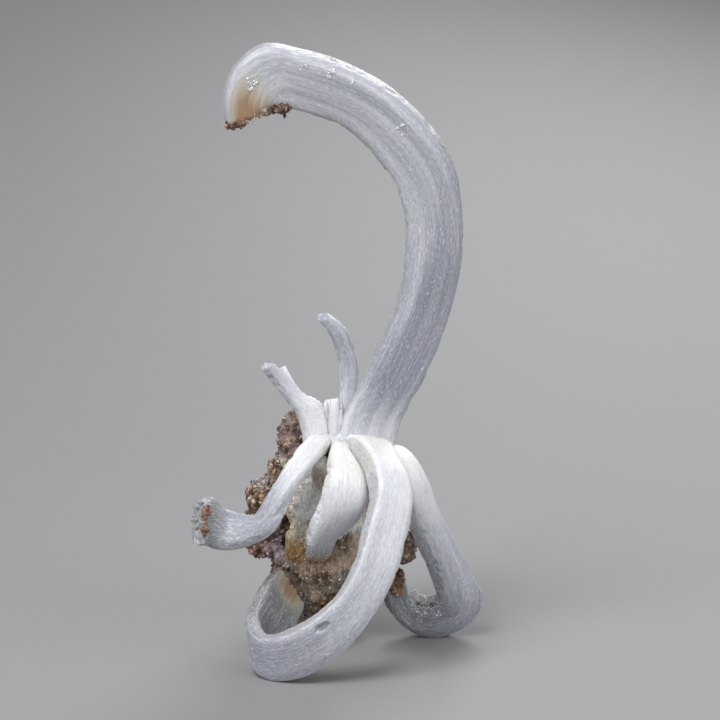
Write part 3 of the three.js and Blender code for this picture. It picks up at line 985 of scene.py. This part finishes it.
def sugar_tree():
    g, ask, end = geometry_tree("sugar_coat", SUGAR_INPUTS)
    mask = g.read("sugar")
    seed = ask["Seed"]
    skin = risen_skin(g, ask)

    # coarse crystals side by side, fine ones anywhere
    coarse_points = g.points(
        skin, "POISSON", Distance_Min=ask["Spacing"], Density_Max=MOST_COARSE, Density_Factor=mask, Seed=seed
    )
    coarse = crystals_on(g, coarse_points, ask["Grain"], seed, g.geo("MeshIcoSphere", 0.5, 1))
    fine_density = g.times(g.plus(mask, FINE_OUTSIDE), ask["Fine per square metre"])
    fine_points = g.points(skin, "RANDOM", Density=g.times(fine_density, g.above(mask, 0.01)), Seed=seed)
    fine = crystals_on(g, fine_points, ask["Fine grain"], seed, g.geo("MeshUVSphere", 4, 2, 0.5))

    # the skin has a number too, which may be darker between coarse grains: painted shade in the gaps
    gap_shade_number = g.ramp(mask, 0.2, 0.9, 0.45, ask["Gap shade"])
    smooth = g.geo("SetShadeSmooth", g.write(skin, "number", gap_shade_number))
    kept = g.geo("Switch", ask["Keep the skin"], None, smooth, input_type="GEOMETRY")
    finish_tree(g, ask, g.join(fine, coarse, kept), end)
    return g.tree


SUGAR_TREE = sugar_tree()
print("sugar tree:", len(SUGAR_TREE.nodes), "nodes,", sum(map(len, SUGAR_INPUTS.values())), "named inputs")


# %% [markdown]
# ## Patches
# The rock changes from tan to rust, pinkish grey and near black within a few centimetres, and its sugar is
# coarse in some places only. Image textures could carry that, but a patch is easier to name: it has a middle,
# a reach and a colour. `cover` gives each point's share in a patch, with a wobble so that no patch is round.


# %% Cover and paint
WOBBLE = 1.6  # in mm, as all sizes of patches are
WOBBLE_SIZE = 3.5
SUGAR_SOFT = 0.5  # share of a patch's reach over which it fades


def spots_of(piece):
    """The points of a piece in millimetres, and how far each is swayed from its place."""
    spots = np.empty(len(piece.data.vertices) * 3)
    piece.data.vertices.foreach_get("co", spots)
    spots = spots.reshape(-1, 3) / MM
    sway = np.array([noise.fractal(Vector(spot) / WOBBLE_SIZE, 1.0, 2.0, 3) for spot in spots]) * WOBBLE
    return spots, sway


def cover(spots, sway, patch, soft):
    x, y, z, reach = patch
    distance = np.linalg.norm(spots - (x, y, z), axis=1) + sway
    return np.clip((reach - distance) / (soft * reach), 0, 1)[:, None]


def paint(piece, ground_colour, patches, soft=0.4):
    """Stores the patches' colours as the attribute tint; later patches lie over earlier ones."""
    spots, sway = spots_of(piece)
    tint = np.tile(np.array(ground_colour), (len(spots), 1))
    for patch, colour in patches:
        share = cover(spots, sway, patch, soft)
        tint = tint * (1 - share) + np.array(colour) * share
    set_attribute(piece.data, "tint", "FLOAT_COLOR", "color", tint)


def mask_sugar(piece, elsewhere, patches):
    """Stores where the sugar grows as the attribute sugar, from 0 to 1."""
    spots, sway = spots_of(piece)
    sugar = np.full((len(spots), 1), elsewhere)
    for patch in patches:
        sugar = np.maximum(sugar, cover(spots, sway, patch, SUGAR_SOFT))
    set_attribute(piece.data, "sugar", "FLOAT", "value", sugar)


# %% Colours of the rock
TAN = tone(168, 148, 124)
BROWN = tone(122, 96, 76)
RUSTY_BROWN = tone(128, 88, 66)
RUST = tone(138, 106, 80)
AMBER = tone(172, 124, 54)
PALE_AMBER = tone(184, 160, 118)
PEACH = tone(202, 176, 148)
PINK_GREY = tone(156, 140, 142)
SMOKE = tone(158, 150, 150)
PALE_SMOKE = tone(200, 192, 190)
DARK_PURPLE_AND_SHADE = tone(80, 58, 64)
CREAM = tone(212, 206, 186)
UMBER = tone(88, 64, 48)
MILKY = tone(236, 237, 230)
GREY_GLASS = tone(98, 90, 82)
WARM_GLASS = tone(166, 146, 124)


# %% [markdown]
# ## Rock finish
# One material does for the rock and the three crusts of rock on the horns. Its colour is the painted patch,
# made lighter or darker by each grain's own number; a few grains are clean, nearly white crystals. The skin
# between the grains can be given a low number, which darkens it as painted shade in the gaps.


# %% Rock material
MOTTLE_SIZE, SPECK_SIZE = 1.8, 0.35  # mm
MOTTLE_STRENGTH = 0.9
GRAIN_SHADE = (0.25, 1.5, 0.25, 1.9)  # from four times as dark to nearly twice as light
REDDER_GRAINS, PINK_GRAINS = (0.2, 0.1, 0.0, 0.5), (0.75, 0.85, 0.0, 0.6)
CLEAN_GRAINS = (0.91, 0.95, 0.0, 0.7)
PINK_SPECKS = (0.5, 0.75, 0.0, 0.3)
GRAIN_ROUGHNESS = (0.2, 0.9, 0.75, 0.35)


def rock_material():
    material, g, shader = shader_graph("sugary_rock")
    tint = attribute(g, "tint")["Color"]
    number = attribute(g, "number")["Fac"]
    mottle = fixed_noise(g, MOTTLE_SIZE, detail=3.0, roughness=0.6)
    specks = fixed_noise(g, SPECK_SIZE)
    shade = g.ramp(g.times_plus(mottle, MOTTLE_STRENGTH, number), *GRAIN_SHADE)
    other = g.math("FRACT", g.times(number, 7.3))  # a second number for each grain, made from the first
    redder = g.blend(g.ramp(other, *REDDER_GRAINS), tint, UMBER)
    mixed = g.blend(g.ramp(other, *PINK_GRAINS), redder, PINK_GREY)
    grained = g.blend(g.ramp(number, *CLEAN_GRAINS), g.scaled(mixed, shade), CREAM)
    speckled = g.blend(g.ramp(specks, *PINK_SPECKS), grained, PINK_GREY)
    roughness = g.ramp(number, *GRAIN_ROUGHNESS)
    fill_shader(g, shader, speckled, roughness, glow(weight=0.15, radius=(1.0, 0.85, 0.75), reach=0.6))
    add_bump(g, shader, specks, strength=0.6, depth=0.12)
    return material


ROCK = rock_material()
print("rock material:", len(ROCK.node_tree.nodes), "nodes")


# %% Sugar on a skin
def grow_sugar(piece, node, finish, slot, skin=True, knob=(4.0, 0.8), clump=1.5, sink=0.4, grain=(1.4, 1.0),
               fine=(0.5, 0.8), between=0.45, seed=1):
    """Sizes are in mm. knob is (size, height); grain is (size, spacing); fine is (size, how many per square
    mm); between is the skin's number under the grains, set low to paint shade in the gaps."""
    run_tree(piece, SUGAR_TREE, {
        "Keep the skin": skin, "Knob size": knob[0] * MM, "Knob height": knob[1] * MM,
        "Clump height": clump * MM, "Sink": sink * MM, "Grain": grain[0] * MM, "Spacing": grain[1] * MM,
        "Fine grain": fine[0] * MM, "Fine per square metre": fine[1] * PER_SQUARE_MM,
        "Gap shade": between, "Seed": seed, "Finish": finish, **solid_corners(node),
    })
    return finished(piece, node, slot)


def rock_crust(name, node, lumps, colours, voxel, **sizes):
    """Lumps of rock sugared all over, painted with (ground colour, patches)."""
    crust = fused_lumps(name, lumps, voxel)
    mask_sugar(crust, elsewhere=1.0, patches=[])
    grow_sugar(crust, node, ROCK, "rock", **sizes)
    paint(crust, *colours)


# %% The rock
ROCK_LUMPS = [
    (-2, 20, 38, 18, 13, 24),  # body
    (3, 24.8, 42, 14, 9.5, 19),  # back
    (-13.8, 14, 62, 4.7, 7, 9),  # spur behind the small horns
    (-15, 13.5, 50.5, 7, 8, 6.5),
    (-20.5, 12, 43, 8.2, 8, 7.2),  # left shoulder
    (-22, 12, 35, 7, 7, 5.5),
    (-22, 12, 28.6, 6.5, 6.5, 3.4),  # left knob
    (-14.5, 8, 22.5, 6.5, 6, 6),
    (16.2, 11, 28.8, 6.4, 6.5, 6),  # right knob
    (-2, 20, 18, 12, 13, 14),  # waist
    (-4.5, 22, 4, 10.5, 11.5, 7),  # foot
    (8.5, 12, 50, 8, 8, 8),  # under the great horn's root
    (-13.5, -1.5, 21.5, 4.5, 4.8, 5.5),  # round the front loop's end
]
ROCK_PATCHES = [
    ((-14, 11, 69, 5), TAN),
    ((-12.5, 8.5, 65, 3), DARK_PURPLE_AND_SHADE),
    ((-15, 7.5, 61, 3.2), PEACH),
    ((-17, 9.5, 58, 2.6), DARK_PURPLE_AND_SHADE),
    ((-18, 8.5, 55.5, 2.4), CREAM),
    ((-19.5, 10, 51.5, 4), RUST),
    ((-25, 9, 48, 4.5), SMOKE),
    ((-26, 7, 43.5, 5.5), RUST),
    ((-21, 5, 43, 4), TAN),
    # painted shade: a dark patch in the shadowed gap in front of the left shoulder
    ((-18, 6, 36.5, 5), DARK_PURPLE_AND_SHADE),
    ((-16.5, 7, 30, 5), PINK_GREY),
    ((-20, 6, 27.5, 3), SMOKE),
    ((-27, 8, 28.5, 4.5), RUST),
    ((-16, 4, 22, 4), DARK_PURPLE_AND_SHADE),
    ((-9, 14, 10, 4), TAN),
    ((-5, 9, 13, 5), AMBER),
    ((3, 7.6, 17, 4), DARK_PURPLE_AND_SHADE),
    ((20, 7, 30, 8), PEACH),
    ((17, 7, 24, 4), RUST),
    ((12, 30, 46, 9), RUST),
    ((-8, 30, 30, 9), PINK_GREY),
    ((4, 34, 56, 7), PEACH),
    ((6, 30, 20, 8), UMBER),
]
ROCK_SUGAR = [
    (-24, 8, 43, 9), (-27, 8, 28, 5), (-19, 9, 53, 4), (4, 30, 44, 12), (16, 9, 28, 6), (-4, 30, 12, 7),
]
rock = fused_lumps("sugary_rock", ROCK_LUMPS, voxel=0.64, creases=35)
mask_sugar(rock, elsewhere=0.5, patches=ROCK_SUGAR)
grow_sugar(
    rock, "rock", ROCK, "rock", knob=(3.4, 1.6), clump=2.0, sink=0.1, grain=(1.5, 0.98), fine=(0.6, 1.1),
    between=0, seed=11,
)
paint(rock, BROWN, ROCK_PATCHES)

# %% [markdown]
# ## Stained gypsum
# Between the rock and the middle horn sits a mass of gypsum that grew without fibres. It is glassy and takes
# its brown and orange from iron, which fades from one colour to the next. It is made as the rock is, with a
# smoother skin, softer patches and only a dusting of sugar.


# %% Stained gypsum material
CLOUD_SIZE, CLEAN_GRAIN_SIZE = 3.0, 0.45  # mm
VEIN_WIDTH, VEIN_LENGTH = 0.7, 5  # mm; veins stand upright
LIGHT_AND_DARK = (0.55, 1.2, 0.65, 1.5)
CREAM_VEINS = (0.52, 0.68, 0.0, 0.3)
CLEAN_SPOTS, CLEAN_CRYSTALS = (0.6, 0.7, 0.0, 0.4), (0.5, 0.9, 0.0, 0.7)
GLASSY_ROUGHNESS = (0.3, 0.7, 0.2, 0.5)
GLASSY = {"IOR": GYPSUM_IOR, **glow(weight=0.3, radius=(1.0, 0.8, 0.6), reach=1.2)}


def stained_gypsum_material():
    material, g, shader = shader_graph("stained_gypsum")
    tint = attribute(g, "tint")["Color"]
    number = attribute(g, "number")["Fac"]
    clouds = fixed_noise(g, CLOUD_SIZE, detail=4.0, roughness=0.6)
    grains = fixed_noise(g, CLEAN_GRAIN_SIZE)
    veins = long_noise(g, object_place(g), VEIN_WIDTH, VEIN_LENGTH / VEIN_WIDTH)
    lightness = g.times_plus(veins, 0.6, g.times_plus(number, 0.25, clouds))
    shaded = g.scaled(tint, g.ramp(lightness, *LIGHT_AND_DARK))
    streaked = g.blend(g.ramp(veins, *CREAM_VEINS), shaded, CREAM)
    clean = g.most(g.ramp(grains, *CLEAN_SPOTS), g.ramp(number, *CLEAN_CRYSTALS))
    roughness = g.ramp(grains, *GLASSY_ROUGHNESS)
    fill_shader(g, shader, g.blend(clean, streaked, MILKY), roughness, GLASSY)
    add_bump(g, shader, g.times_plus(veins, 0.5, grains), strength=0.5, depth=0.12)
    return material


STAINED_GYPSUM = stained_gypsum_material()
print("stained gypsum material:", len(STAINED_GYPSUM.node_tree.nodes), "nodes")

# %% Stained gypsum piece
STAINED_LUMPS = [
    (-3, 4, 43, 12, 9, 19),  # body, behind the middle horn
    (2.5, -2, 33, 7, 6, 7),
    (-2.5, -3, 25.5, 7, 6, 6.5),
    (-11.5, -2.5, 32, 4.6, 5, 8),
    (-9, -2, 20, 3.8, 4, 4),
    (-11, -3, 46, 4.6, 5, 9),
    (0.5, -2.5, 29.5, 8, 5.8, 8),  # between the lower two
    (-8, -4.5, 27, 5, 4.2, 4.5),  # round the middle horn's tip
    (-7.6, -5, 48.5, 2.6, 3, 4),  # frosted skirt beside the middle horn
    (-9, -6, 44, 2.6, 2.8, 4),
    (-10.4, -6, 40, 2.4, 2.6, 3.2),
    (-5.5, -4.5, 55, 2.8, 4.2, 5.5),  # in the cleft behind the left curl
]
STAINED_PATCHES = [
    ((-8, -2, 55, 8), PALE_SMOKE),
    ((-4.5, -9, 60.5, 5.5), MILKY),
    ((-10, -5, 50, 4.5), MILKY),
    ((-11.8, -7.6, 48.5, 2.2), PEACH),
    ((-9, -7, 45.5, 6.5), MILKY),
    ((-11.7, -5.4, 38.5, 4), CREAM),
    ((-13.2, -6.9, 35, 3), PALE_AMBER),
    ((-13.2, -6.9, 31.5, 4.8), AMBER),
    ((3, -4, 41, 6.5), MILKY),
    ((0, -7, 35.5, 4), BROWN),
    ((6, -6.5, 34, 4), TAN),
    ((-5, -8, 24.5, 4.5), UMBER),
    ((2, -8, 23.5, 5.5), GREY_GLASS),
    ((-7, -8, 29, 4), BROWN),
    ((-10, -3, 18.5, 5), DARK_PURPLE_AND_SHADE),
    ((8, -2, 48, 8), SMOKE),
]
STAINED_SUGAR = [(-9.5, -6, 46, 8), (3, -4, 41, 7), (-12, -6, 37, 4)]
stained_gypsum = fused_lumps("stained_gypsum_mass", STAINED_LUMPS, voxel=0.45, creases=50)
mask_sugar(stained_gypsum, elsewhere=0.3, patches=STAINED_SUGAR)
grow_sugar(
    stained_gypsum, "stained_gypsum", STAINED_GYPSUM, "stained_gypsum", knob=(2.2, 1.0), clump=1.1, sink=-0.3,
    grain=(0.85, 0.72), fine=(0.35, 2.0), seed=12,
)
paint(stained_gypsum, WARM_GLASS, STAINED_PATCHES, soft=0.55)

# %% [markdown]
# ## Where the horns meet
# At the root the horns are frozen together: late gypsum filled the clefts between them with frosted white
# crystals. Small balls set along each cleft, fused and sugared as the rock is, close them. Their fibre
# directions are simply upright, so the selenite's streaks carry on across them.

# %% Root filling
ROOT_FILLING = [
    (-0.2, 3.8, 61, 2.2, 2.2, 5),  # great horn to stub
    (-0.2, 4.4, 67, 1.5, 1.8, 4.5),
    (-5.4, 3.0, 61.5, 2, 2, 5),  # stub to forked horn
    (-5.0, 3.8, 68, 1.2, 1.6, 3.5),
    (-4.3, 3.2, 71, 0.9, 1.6, 4.2),
    (0.1, 5.6, 70.5, 0.9, 1.6, 3.6),  # stub to upright horn
    (-4.2, -0.4, 63, 2.6, 2.4, 2.6),  # over the left curl's root
    (-1.6, -1.6, 61.8, 2.6, 2.4, 2.4),  # over the middle horn's root
    (1.9, -2.2, 61.6, 2.2, 2.6, 2.1),
    (-0.5, 1, 62, 2.4, 2.6, 3),
    (3.4, 2.4, 63, 3, 2.4, 2.6),  # great horn to front loop
]
root_filling = fused_lumps("root_filling", ROOT_FILLING, voxel=0.35, creases=12)
mask_sugar(root_filling, elsewhere=0.5, patches=[])
spots = spots_of(root_filling)[0] * MM
set_attribute(root_filling.data, "fibre", "FLOAT_VECTOR", "vector", spots)
set_attribute(root_filling.data, "milk", "FLOAT", "value", np.full(len(spots), 0.9))
grow_sugar(
    root_filling, "great_horn", SELENITE, "selenite", knob=(2.5, 0.3), clump=0.2, sink=0.0, grain=(0.55, 0.8),
    fine=(0.28, 3.0), seed=15,
)

# %% [markdown]
# ## Rock left on the horns
# A horn is pushed out of the rock from its root, so its tip is the oldest part and still carries a crumb of
# the rock it first grew against: the great horn's crumbs lie along its broken end, thick at both ends and
# thin in the middle, and the left curl has a few. Where the right loop comes back to the rock, rock sugar has
# grown over its end.


# %% Crumbs along a line
CRUMB_SIZES = (0.45, 1.35)  # shares of the size asked for
CRUMB_SWAY = 0.4  # and how far a crumb lies off the line


def crumbs(path, depth, size, count, seed):
    """Balls strewn along a line of points and up to depth mm back from it; size gives theirs by the share."""
    dice = np.random.default_rng(seed)
    path = np.array(path, float)
    lumps = []
    for share in (np.arange(count) + 0.5) / count:
        at = share * (len(path) - 1)
        here = path[int(at)] * (1 - at % 1) + path[min(int(at) + 1, len(path) - 1)] * (at % 1)
        radius = size(share) * dice.uniform(*CRUMB_SIZES, 3)
        jitter = dice.uniform(-CRUMB_SWAY, CRUMB_SWAY, 3) * size(share) + (0, depth * dice.random(), 0)
        lumps.append((*(here + jitter), *radius))
    return lumps


# %% Crusts of rock
HORN_TIP_LINE = [
    (-14.5, -11.5, 160.6), (-17.5, -12.2, 160), (-22.5, -13.2, 158.2), (-27, -13, 156), (-31.2, -12, 155),
]
HORN_TIP_HOOK = (-15.2, -11, 158.4, 0.8, 0.8, 1.3)
CURL_TIP_LINE = [(-37.6, -18.2, 48.2), (-38.2, -19.8, 44.6), (-38.6, -20.8, 41)]
LOOP_END_LINE = [(14.6, 8.4, 20.8), (17.4, 9, 20), (15.2, 7.6, 17.4), (18, 8.6, 16.6), (16.2, 8, 15)]


def horn_tip_size(share):
    """Thick at both ends of the break, and thin in the middle."""
    return 0.6 + 0.95 * math.cos(math.pi * (share - 0.04)) ** 2


def curl_tip_size(share):
    return 0.85 + 0.3 * math.sin(9 * share)


def loop_end_size(share):
    return 1.7 - 0.5 * share


rock_crust(
    "great_horn_tip_crust", "great_horn_tip_rock",
    crumbs(HORN_TIP_LINE, depth=5.5, size=horn_tip_size, count=60, seed=3) + [HORN_TIP_HOOK],
    (TAN, [((-16.5, -11, 160, 4.5), UMBER), ((-30, -12, 155, 5), RUSTY_BROWN)]),
    voxel=0.3, knob=(1.4, 0.5), clump=0.6, sink=0.2, grain=(0.75, 0.6), fine=(0.35, 2.2), between=0.1,
    seed=13,
)
rock_crust(
    "left_curl_tip_crust", "left_curl_tip_rock",
    crumbs(CURL_TIP_LINE, depth=1.5, size=curl_tip_size, count=16, seed=5),
    (BROWN, [((-38, -18, 47.5, 2), RUSTY_BROWN)]),
    voxel=0.3, knob=(1.2, 0.4), clump=0.5, sink=0.1, grain=(0.95, 0.75), fine=(0.35, 2.2), seed=14,
)
rock_crust(
    "right_loop_end_crust", "rock",
    crumbs(LOOP_END_LINE, depth=2.4, size=loop_end_size, count=40, seed=6),
    (RUST, [((17, 8, 14, 3), IRON_ORANGE), ((14.5, 8, 21, 2.5), BROWN)]),
    voxel=0.35, knob=(1.8, 0.5), clump=0.8, sink=0.2, grain=(1.0, 0.75), fine=(0.4, 2.0), between=0.1,
    seed=16,
)

# %% [markdown]
# ## Frost
# Late gypsum grew as tiny white crystals: in the crook of the right loop, on the broken end of the left curl,
# along the middle horn, on the forked horn, on the stained gypsum and as flakes on the great horn. They could
# be painted on, but at the edges they stand out against the light, so the sugar tree grows them on a copy of
# each piece's own skin, or on small lumps where they are thickest.


# %% Frost material
FROST_ROUGHNESS = (0.25, 0.55)


def frost_material():
    material, g, shader = shader_graph("frost")
    number = attribute(g, "number")["Fac"]
    shade = g.blend(number, FROST_SHADE, FLECK_WHITE)
    roughness = g.ramp(number, 0.0, 1.0, *FROST_ROUGHNESS)
    fill_shader(g, shader, shade, roughness, glow(weight=0.4, radius=(1.0, 1.0, 1.0), reach=1.2))
    return material


FROST = frost_material()
print("frost material:", len(FROST.node_tree.nodes), "nodes")


# %% Grow frost
def frost_on(name, host, node, patches, grain, fine, seed):
    frost = add_piece(name, host.data.copy())
    mask_sugar(frost, elsewhere=0.0, patches=patches)
    bare = {"skin": False, "knob": (1.5, 0.0), "clump": 0.0, "sink": 0.05}
    grow_sugar(frost, node, FROST, "selenite", **bare, grain=grain, fine=fine, seed=seed)


def frost_crust(name, node, line, depth, size, count, seed):
    crust = fused_lumps(name, crumbs(line, depth, lambda share: size, count, seed), voxel=0.25)
    mask_sugar(crust, elsewhere=1.0, patches=[])
    lumpy = {"knob": (1.3, 0.5), "clump": 0.6, "sink": 0.1}
    grow_sugar(crust, node, FROST, "selenite", **lumpy, grain=(0.9, 0.65), fine=(0.35, 2.5), seed=seed)


# %% Frosted places
LOOP_PATCHES = [(26, 10.5, 11.5, 5), (22.5, 11, 12.5, 4), (41.8, 13.8, 13.5, 2.6), (39.5, 13, 18.5, 2)]
CURL_PATCHES = [(-39, -13, 49, 1.8), (-41, -19, 38.5, 2), (-24, -13.5, 44.5, 2.2)]
TONGUE_PATCHES = [(0, -14, 54, 9), (0, -14, 46, 10), (-6, -9, 36, 9)]
GYPSUM_PATCHES = [(-8.6, -6.5, 45.5, 4.2), (-9.9, -7.6, 42.5, 3), (-12.9, -7.3, 45, 2.2), (-7, -4.5, 49, 3)]
FLAKES = [
    (-24.6, -14.4, 167.5, 2.1), (-25.1, -14.2, 165.6, 1.6), (-18.5, -14.1, 171.9, 1.6),
    (-10.5, -13.3, 171.6, 1.7), (-2.6, -12.6, 169.7, 1.6), (3.5, -11.8, 166.9, 1.8), (10.4, -9.7, 156.3, 1.0),
    (16.6, -9.6, 154.4, 1.9), (18, -9.4, 152.4, 1.6),
]
FORK_PATCHES = [(-6, 2, 73, 3), (-9, 2, 76, 2)]
CROOK_LINE = [(21.6, 12, 13.2), (22.6, 12.2, 12.6), (24, 12.3, 11.4), (26.3, 12.6, 11), (28.8, 11.2, 12.8)]
TONGUE_LINE = [(7.4, -6.5, 43.5), (4.5, -8, 41.2), (1.5, -9.5, 39), (-1, -9.5, 36.5)]
FROSTED = [  # name, what it grows on, solid, patches, grain (size, spacing), fine (size, how many), seed
    ("right_loop_frost", right_loop, "right_loop", LOOP_PATCHES, (0.9, 0.7), (0.35, 2.5), 21),
    ("left_curl_frost", left_curl, "left_curl", CURL_PATCHES, (0.6, 0.7), (0.3, 4.0), 22),
    ("middle_horn_frost", middle_horn, "middle_horn", TONGUE_PATCHES, (0.55, 0.85), (0.28, 4.0), 23),
    ("stained_gypsum_frost", stained_gypsum, "stained_gypsum", GYPSUM_PATCHES, (0.8, 0.75), (0.35, 3.0), 28),
    ("great_horn_flakes", great_horn, "great_horn", FLAKES, (0.9, 0.55), (0.3, 3.0), 27),
    ("forked_horn_frost", forked_horn, "forked_horn", FORK_PATCHES, (0.8, 0.7), (0.35, 2.5), 26),
]
for place in FROSTED:
    frost_on(*place)
frost_crust("right_loop_crook_crust", "right_loop", CROOK_LINE, depth=1.6, size=1.15, count=44, seed=24)
frost_crust("middle_horn_crust", "middle_horn", TONGUE_LINE, depth=1.5, size=0.8, count=20, seed=25)

# %% [markdown]
# ## Floor and light
# A plain pale sweep: a floor that curves up into a wall far behind, so that no edge shows. One big soft lamp
# high on the left draws the fibres, a weaker one on the right fills the shadows, and one behind lights the
# edges so that the gypsum glows.

# %% Floor
FLOOR_HALF_WIDTH = 3.0
FLOOR_FRONT = -2.0
FLOOR_BACK = 0.25
SWEEP_RADIUS = 1.3
SWEEP_STEPS = 24
WALL_TOP = 2.5
FLOOR_COLOUR = (0.29, 0.29, 0.295, 1)
FLOOR_TOOTH = tuple(0.985 * c for c in FLOOR_COLOUR[:3]) + (1,)
FLOOR_ROUGHNESS = 0.7
TOOTH_SCALE = 400.0  # grains of the paper in a metre


def floor_sweep():
    profile = [(FLOOR_FRONT, 0.0), (FLOOR_BACK, 0.0)]
    for step in range(1, SWEEP_STEPS + 1):
        turn = math.radians(90) * step / SWEEP_STEPS
        profile.append((FLOOR_BACK + SWEEP_RADIUS * math.sin(turn), SWEEP_RADIUS * (1 - math.cos(turn))))
    profile.append((profile[-1][0], WALL_TOP))
    verts = [(x, y, z) for y, z in profile for x in (-FLOOR_HALF_WIDTH, FLOOR_HALF_WIDTH)]
    faces = [(2 * i, 2 * i + 1, 2 * i + 3, 2 * i + 2) for i in range(len(profile) - 1)]
    mesh = bpy.data.meshes.new("floor")
    mesh.from_pydata(verts, [], faces)
    mesh.shade_smooth()
    material, g, shader = shader_graph("floor_paper")
    tooth = g.noise(object_place(g), TOOTH_SCALE)
    fill_shader(g, shader, g.blend(tooth, FLOOR_TOOTH, FLOOR_COLOUR), FLOOR_ROUGHNESS, {})
    mesh.materials.append(material)
    return add_piece("floor", mesh)


floor = floor_sweep()
print("floor:", len(floor.data.polygons), "strips")


# %% Lamps
SPECIMEN_MIDDLE = Vector((0, 0, 0.085))
LAMPS = {  # place and size in metres, power in watts
    "key": ((-0.4, -0.55, 0.9), (0.6, 0.6), 11.5),
    "fill": ((0.8, -0.5, 0.35), (0.7, 0.7), 3.6),
    "rim": ((0.25, 0.7, 0.6), (0.6, 0.4), 4.5),
}
for name, (place, size, power) in LAMPS.items():
    data = bpy.data.lights.new(name, "AREA")
    data.shape = "RECTANGLE"
    data.size, data.size_y = size
    data.energy = power
    lamp = bpy.data.objects.new(name, data)
    lamp.location = place
    lamp.rotation_euler = (SPECIMEN_MIDDLE - Vector(place)).to_track_quat("-Z", "Y").to_euler()
    bpy.context.scene.collection.objects.link(lamp)
    print(name, "lamp:", power, "watts")

# %% Sky and film
SKY_COLOUR = (0.93, 0.95, 1.0, 1)
SKY_STRENGTH = 0.25
world = bpy.data.worlds.new("studio")
world.use_nodes = True
world.node_tree.nodes["Background"].inputs["Color"].default_value = SKY_COLOUR
world.node_tree.nodes["Background"].inputs["Strength"].default_value = SKY_STRENGTH
bpy.context.scene.world = world
# the plain film curve keeps the whites crisp and the rock's colours true
bpy.context.scene.view_settings.view_transform = "Standard"

# %% [markdown]
# ## Hand the pieces to the frame
# Each piece rides on the specimen's one body and takes the place of the solid it was made for.

# %% Frame calls
for piece, node, slot in PIECES:
    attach(piece, "root")
    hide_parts(node)
print(len(PIECES), "pieces on the specimen's body")
